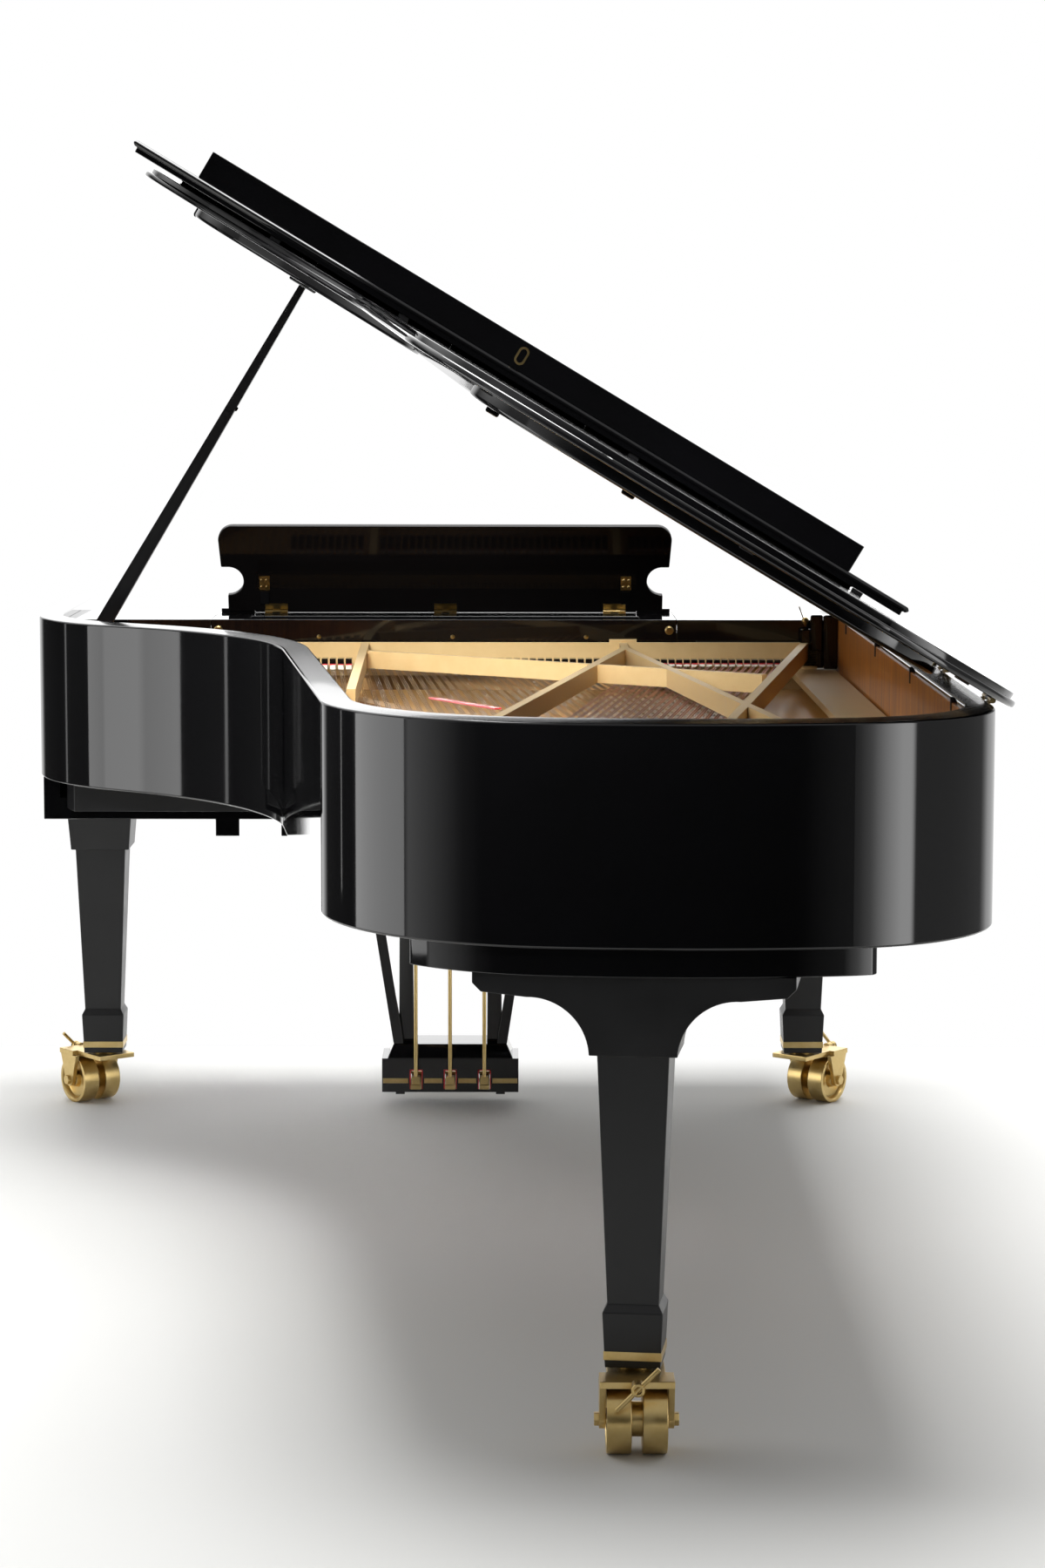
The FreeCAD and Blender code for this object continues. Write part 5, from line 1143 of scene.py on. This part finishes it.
@dataclass
class Studio:
    """Pale floor, soft light from behind, side panels for the gloss, and the camera, in metres."""

    place: Point = (-0.106, 7.497, 1.457)
    pitch_deg: float = 6.42
    yaw_deg: float = 0.25
    roll_deg: float = 0.08
    lens: float = 83.8
    floor_half: float = 60.0
    floor_middle: Point = (0.0, 1.6, 0.0)
    # Where the floor turns white for the camera, and where it stops showing in the gloss.
    white_far: Pair = (3.4, 6.5)
    white_back: Pair = (-0.05, -0.34)
    mirror_far: Pair = (2.2, 3.2)
    ceiling: float = 0.5
    high_back: float = 2.2
    ambient: float = 0.24
    backdrop: float = 1.4
    # Bearing in degrees from the tail towards the treble side, and how bright the room is there.
    room: tuple[Pair, ...] = (
        (-180, 2.0), (180, 2.0), (-173, 2.0), (-167, 0.9), (-142, 0.95), (-130, 0.2), (-66, 0.34), (-63, 4.7),
        (-56, 4.7), (-46, 3.0), (-36, 1.0), (-25, 0.14), (-18, 0.01), (45, 0.02), (54, 0.1), (68, 0.52),
        (82, 0.95), (84, 0.06), (118, 0.06), (120, 0.03), (150, 0.03), (158, 0.85), (166, 1.0), (173, 2.0))
    lamps: tuple[Lamp, ...] = (
        Lamp("over_key", (-0.25, 0.8, 5.2), (-0.25, 0.8, 0.0), (3.0, 3.2), 450),
        Lamp("treble_soft", (3.4, 0.9, 2.3), (-0.5, 1.3, 0.95), (1.8, 1.4), 25, Reach.MATTE),
        Lamp("well_fill", (0.05, 1.4, 1.32), (0.0, 1.4, 0.9), (0.5, 1.0), 6, Reach.MATTE),
        Lamp("tail_soft", (0.5, 5.4, 2.15), (-0.05, 0.9, 0.95), (0.7, 0.7), 9, Reach.MATTE, 28),
        Lamp("left_panel", (4.1, 1.79, 1.2), (0.0, 1.79, 1.2), (2.56, 2.4), 47, Reach.GLOSS),
        Lamp("left_strip", (4.1, -0.9, 1.2), (0.0, -0.9, 1.2), (0.12, 2.4), 0.9, Reach.GLOSS))

    def camera(self) -> None:
        """Stands the camera at the tail, a little above the rim."""
        p, y, r = (radians(a) for a in (self.pitch_deg, self.yaw_deg, self.roll_deg))
        ahead = Vector((-sin(y) * cos(p), -cos(y) * cos(p), -sin(p)))
        right = Vector((-cos(y), sin(y), 0))
        up = right.cross(ahead)
        right, up = (cos(r) * right + sin(r) * up, cos(r) * up - sin(r) * right)
        data = bpy.data.cameras.new("tail_view")
        data.sensor_fit = "VERTICAL"
        data.sensor_height = 36.0
        data.lens = self.lens
        data.clip_end = 200.0
        camera = place_object("tail_view", data)
        camera.matrix_world = at(*self.place) @ Matrix((right, up, -ahead)).transposed().to_4x4()
        bpy.context.scene.camera = camera

    def floor(self) -> None:
        """Lays a pale paper floor that runs out to white behind the piano and far from it."""
        size = self.floor_half
        mesh = bpy.data.meshes.new("paper_floor")
        corners = [(-size, -size, 0), (size, -size, 0), (size, size, 0), (-size, size, 0)]
        mesh.from_pydata(corners, [], [(0, 1, 2, 3)])
        floor = place_object("paper_floor", mesh)
        made = bpy.data.materials.new("paper_sweep_matte")
        made.use_nodes = True
        tree = made.node_tree
        shader = tree.nodes["Principled BSDF"]
        shader.inputs["Base Color"].default_value = linear("cdcdcb")
        shader.inputs["Roughness"].default_value = 0.9
        place = add_node(tree, "TexCoord").outputs["Object"]
        path = add_node(tree, "LightPath")
        far = add_node(tree, "VectorMath", {0: place, 1: self.floor_middle}, operation="DISTANCE")
        far = far.outputs["Value"]
        axes = add_node(tree, "SeparateXYZ", {"Vector": place})
        around = map_range(tree, far, self.white_far, soft=True)
        behind = map_range(tree, axes.outputs["Y"], self.white_back, soft=True)
        most = reckon(tree, "MAXIMUM", around, behind)
        seen = reckon(tree, "MULTIPLY", most, path.outputs["Is Camera Ray"])
        white = add_node(tree, "Emission", {"Strength": 1.0}).outputs["Emission"]
        mix = add_node(tree, "MixShader", {0: seen, 1: shader.outputs["BSDF"], 2: white})
        edge = map_range(tree, far, self.mirror_far, soft=True)
        mirrored = reckon(tree, "MULTIPLY", edge, path.outputs["Is Glossy Ray"])
        clear = add_node(tree, "BsdfTransparent").outputs["BSDF"]
        both = add_node(tree, "MixShader", {0: mirrored, 1: mix.outputs["Shader"], 2: clear})
        tree.links.new(both.outputs["Shader"], tree.nodes["Material Output"].inputs["Surface"])
        mesh.materials.append(made)

    def surroundings(self) -> None:
        """Makes a room whose brightness changes with the bearing, seen as white by the camera."""
        world = bpy.data.worlds.new("studio_room")
        bpy.context.scene.world = world
        world.use_nodes = True
        tree = world.node_tree
        place = add_node(tree, "TexCoord").outputs["Generated"]
        path = add_node(tree, "LightPath")
        axes = add_node(tree, "SeparateXYZ", {"Vector": place})
        x, y, z = (axes.outputs[name] for name in "XYZ")
        turn = map_range(tree, reckon(tree, "ARCTAN2", x, y), (-pi, pi))
        ramp = add_node(tree, "ValToRGB", {"Fac": turn})
        stops = ramp.color_ramp.elements
        for number, (degrees, level) in enumerate(self.room):
            spot = (degrees + 180) / 360
            stop = stops[number] if number < 2 else stops.new(spot)
            stop.position = spot
            stop.color = (level, level, level, 1)
        height = map_range(tree, z, (0.2, 0.7), soft=True)
        over = map_range(tree, y, (-0.2, -0.6), (self.ceiling, self.high_back))
        sides = add_node(tree, "Mix", {0: height, 2: ramp.outputs["Color"], 3: over}).outputs[0]
        soft = map_range(tree, y, (0.2, -0.7), (self.ambient, self.backdrop))
        mirrored = add_node(tree, "Mix", {0: path.outputs["Is Glossy Ray"], 2: soft, 3: sides}).outputs[0]
        level = add_node(tree, "Mix", {0: path.outputs["Is Camera Ray"], 2: mirrored, 3: 1.0})
        tree.links.new(level.outputs[0], tree.nodes["Background"].inputs["Strength"])
        tree.nodes["Background"].inputs["Color"].default_value = (1, 1, 1, 1)

    def build(self) -> None:
        """Builds the studio."""
        self.floor()
        self.surroundings()
        for lamp in self.lamps:
            lamp.hang()
        self.camera()


def main() -> None:
    """Builds every sub-assembly in order."""
    logging.basicConfig(level=logging.INFO, format="%(message)s")
    bpy.context.scene.view_settings.view_transform = "Standard"
    for work in (CaseWork(), StringWork(), KeyWork(), DeskWork(), LidWork(), LegWork(), LyreWork(), Studio()):
        LOG.info("building %s", type(work).__name__)
        work.build()


if __name__ == "__main__":
    main()
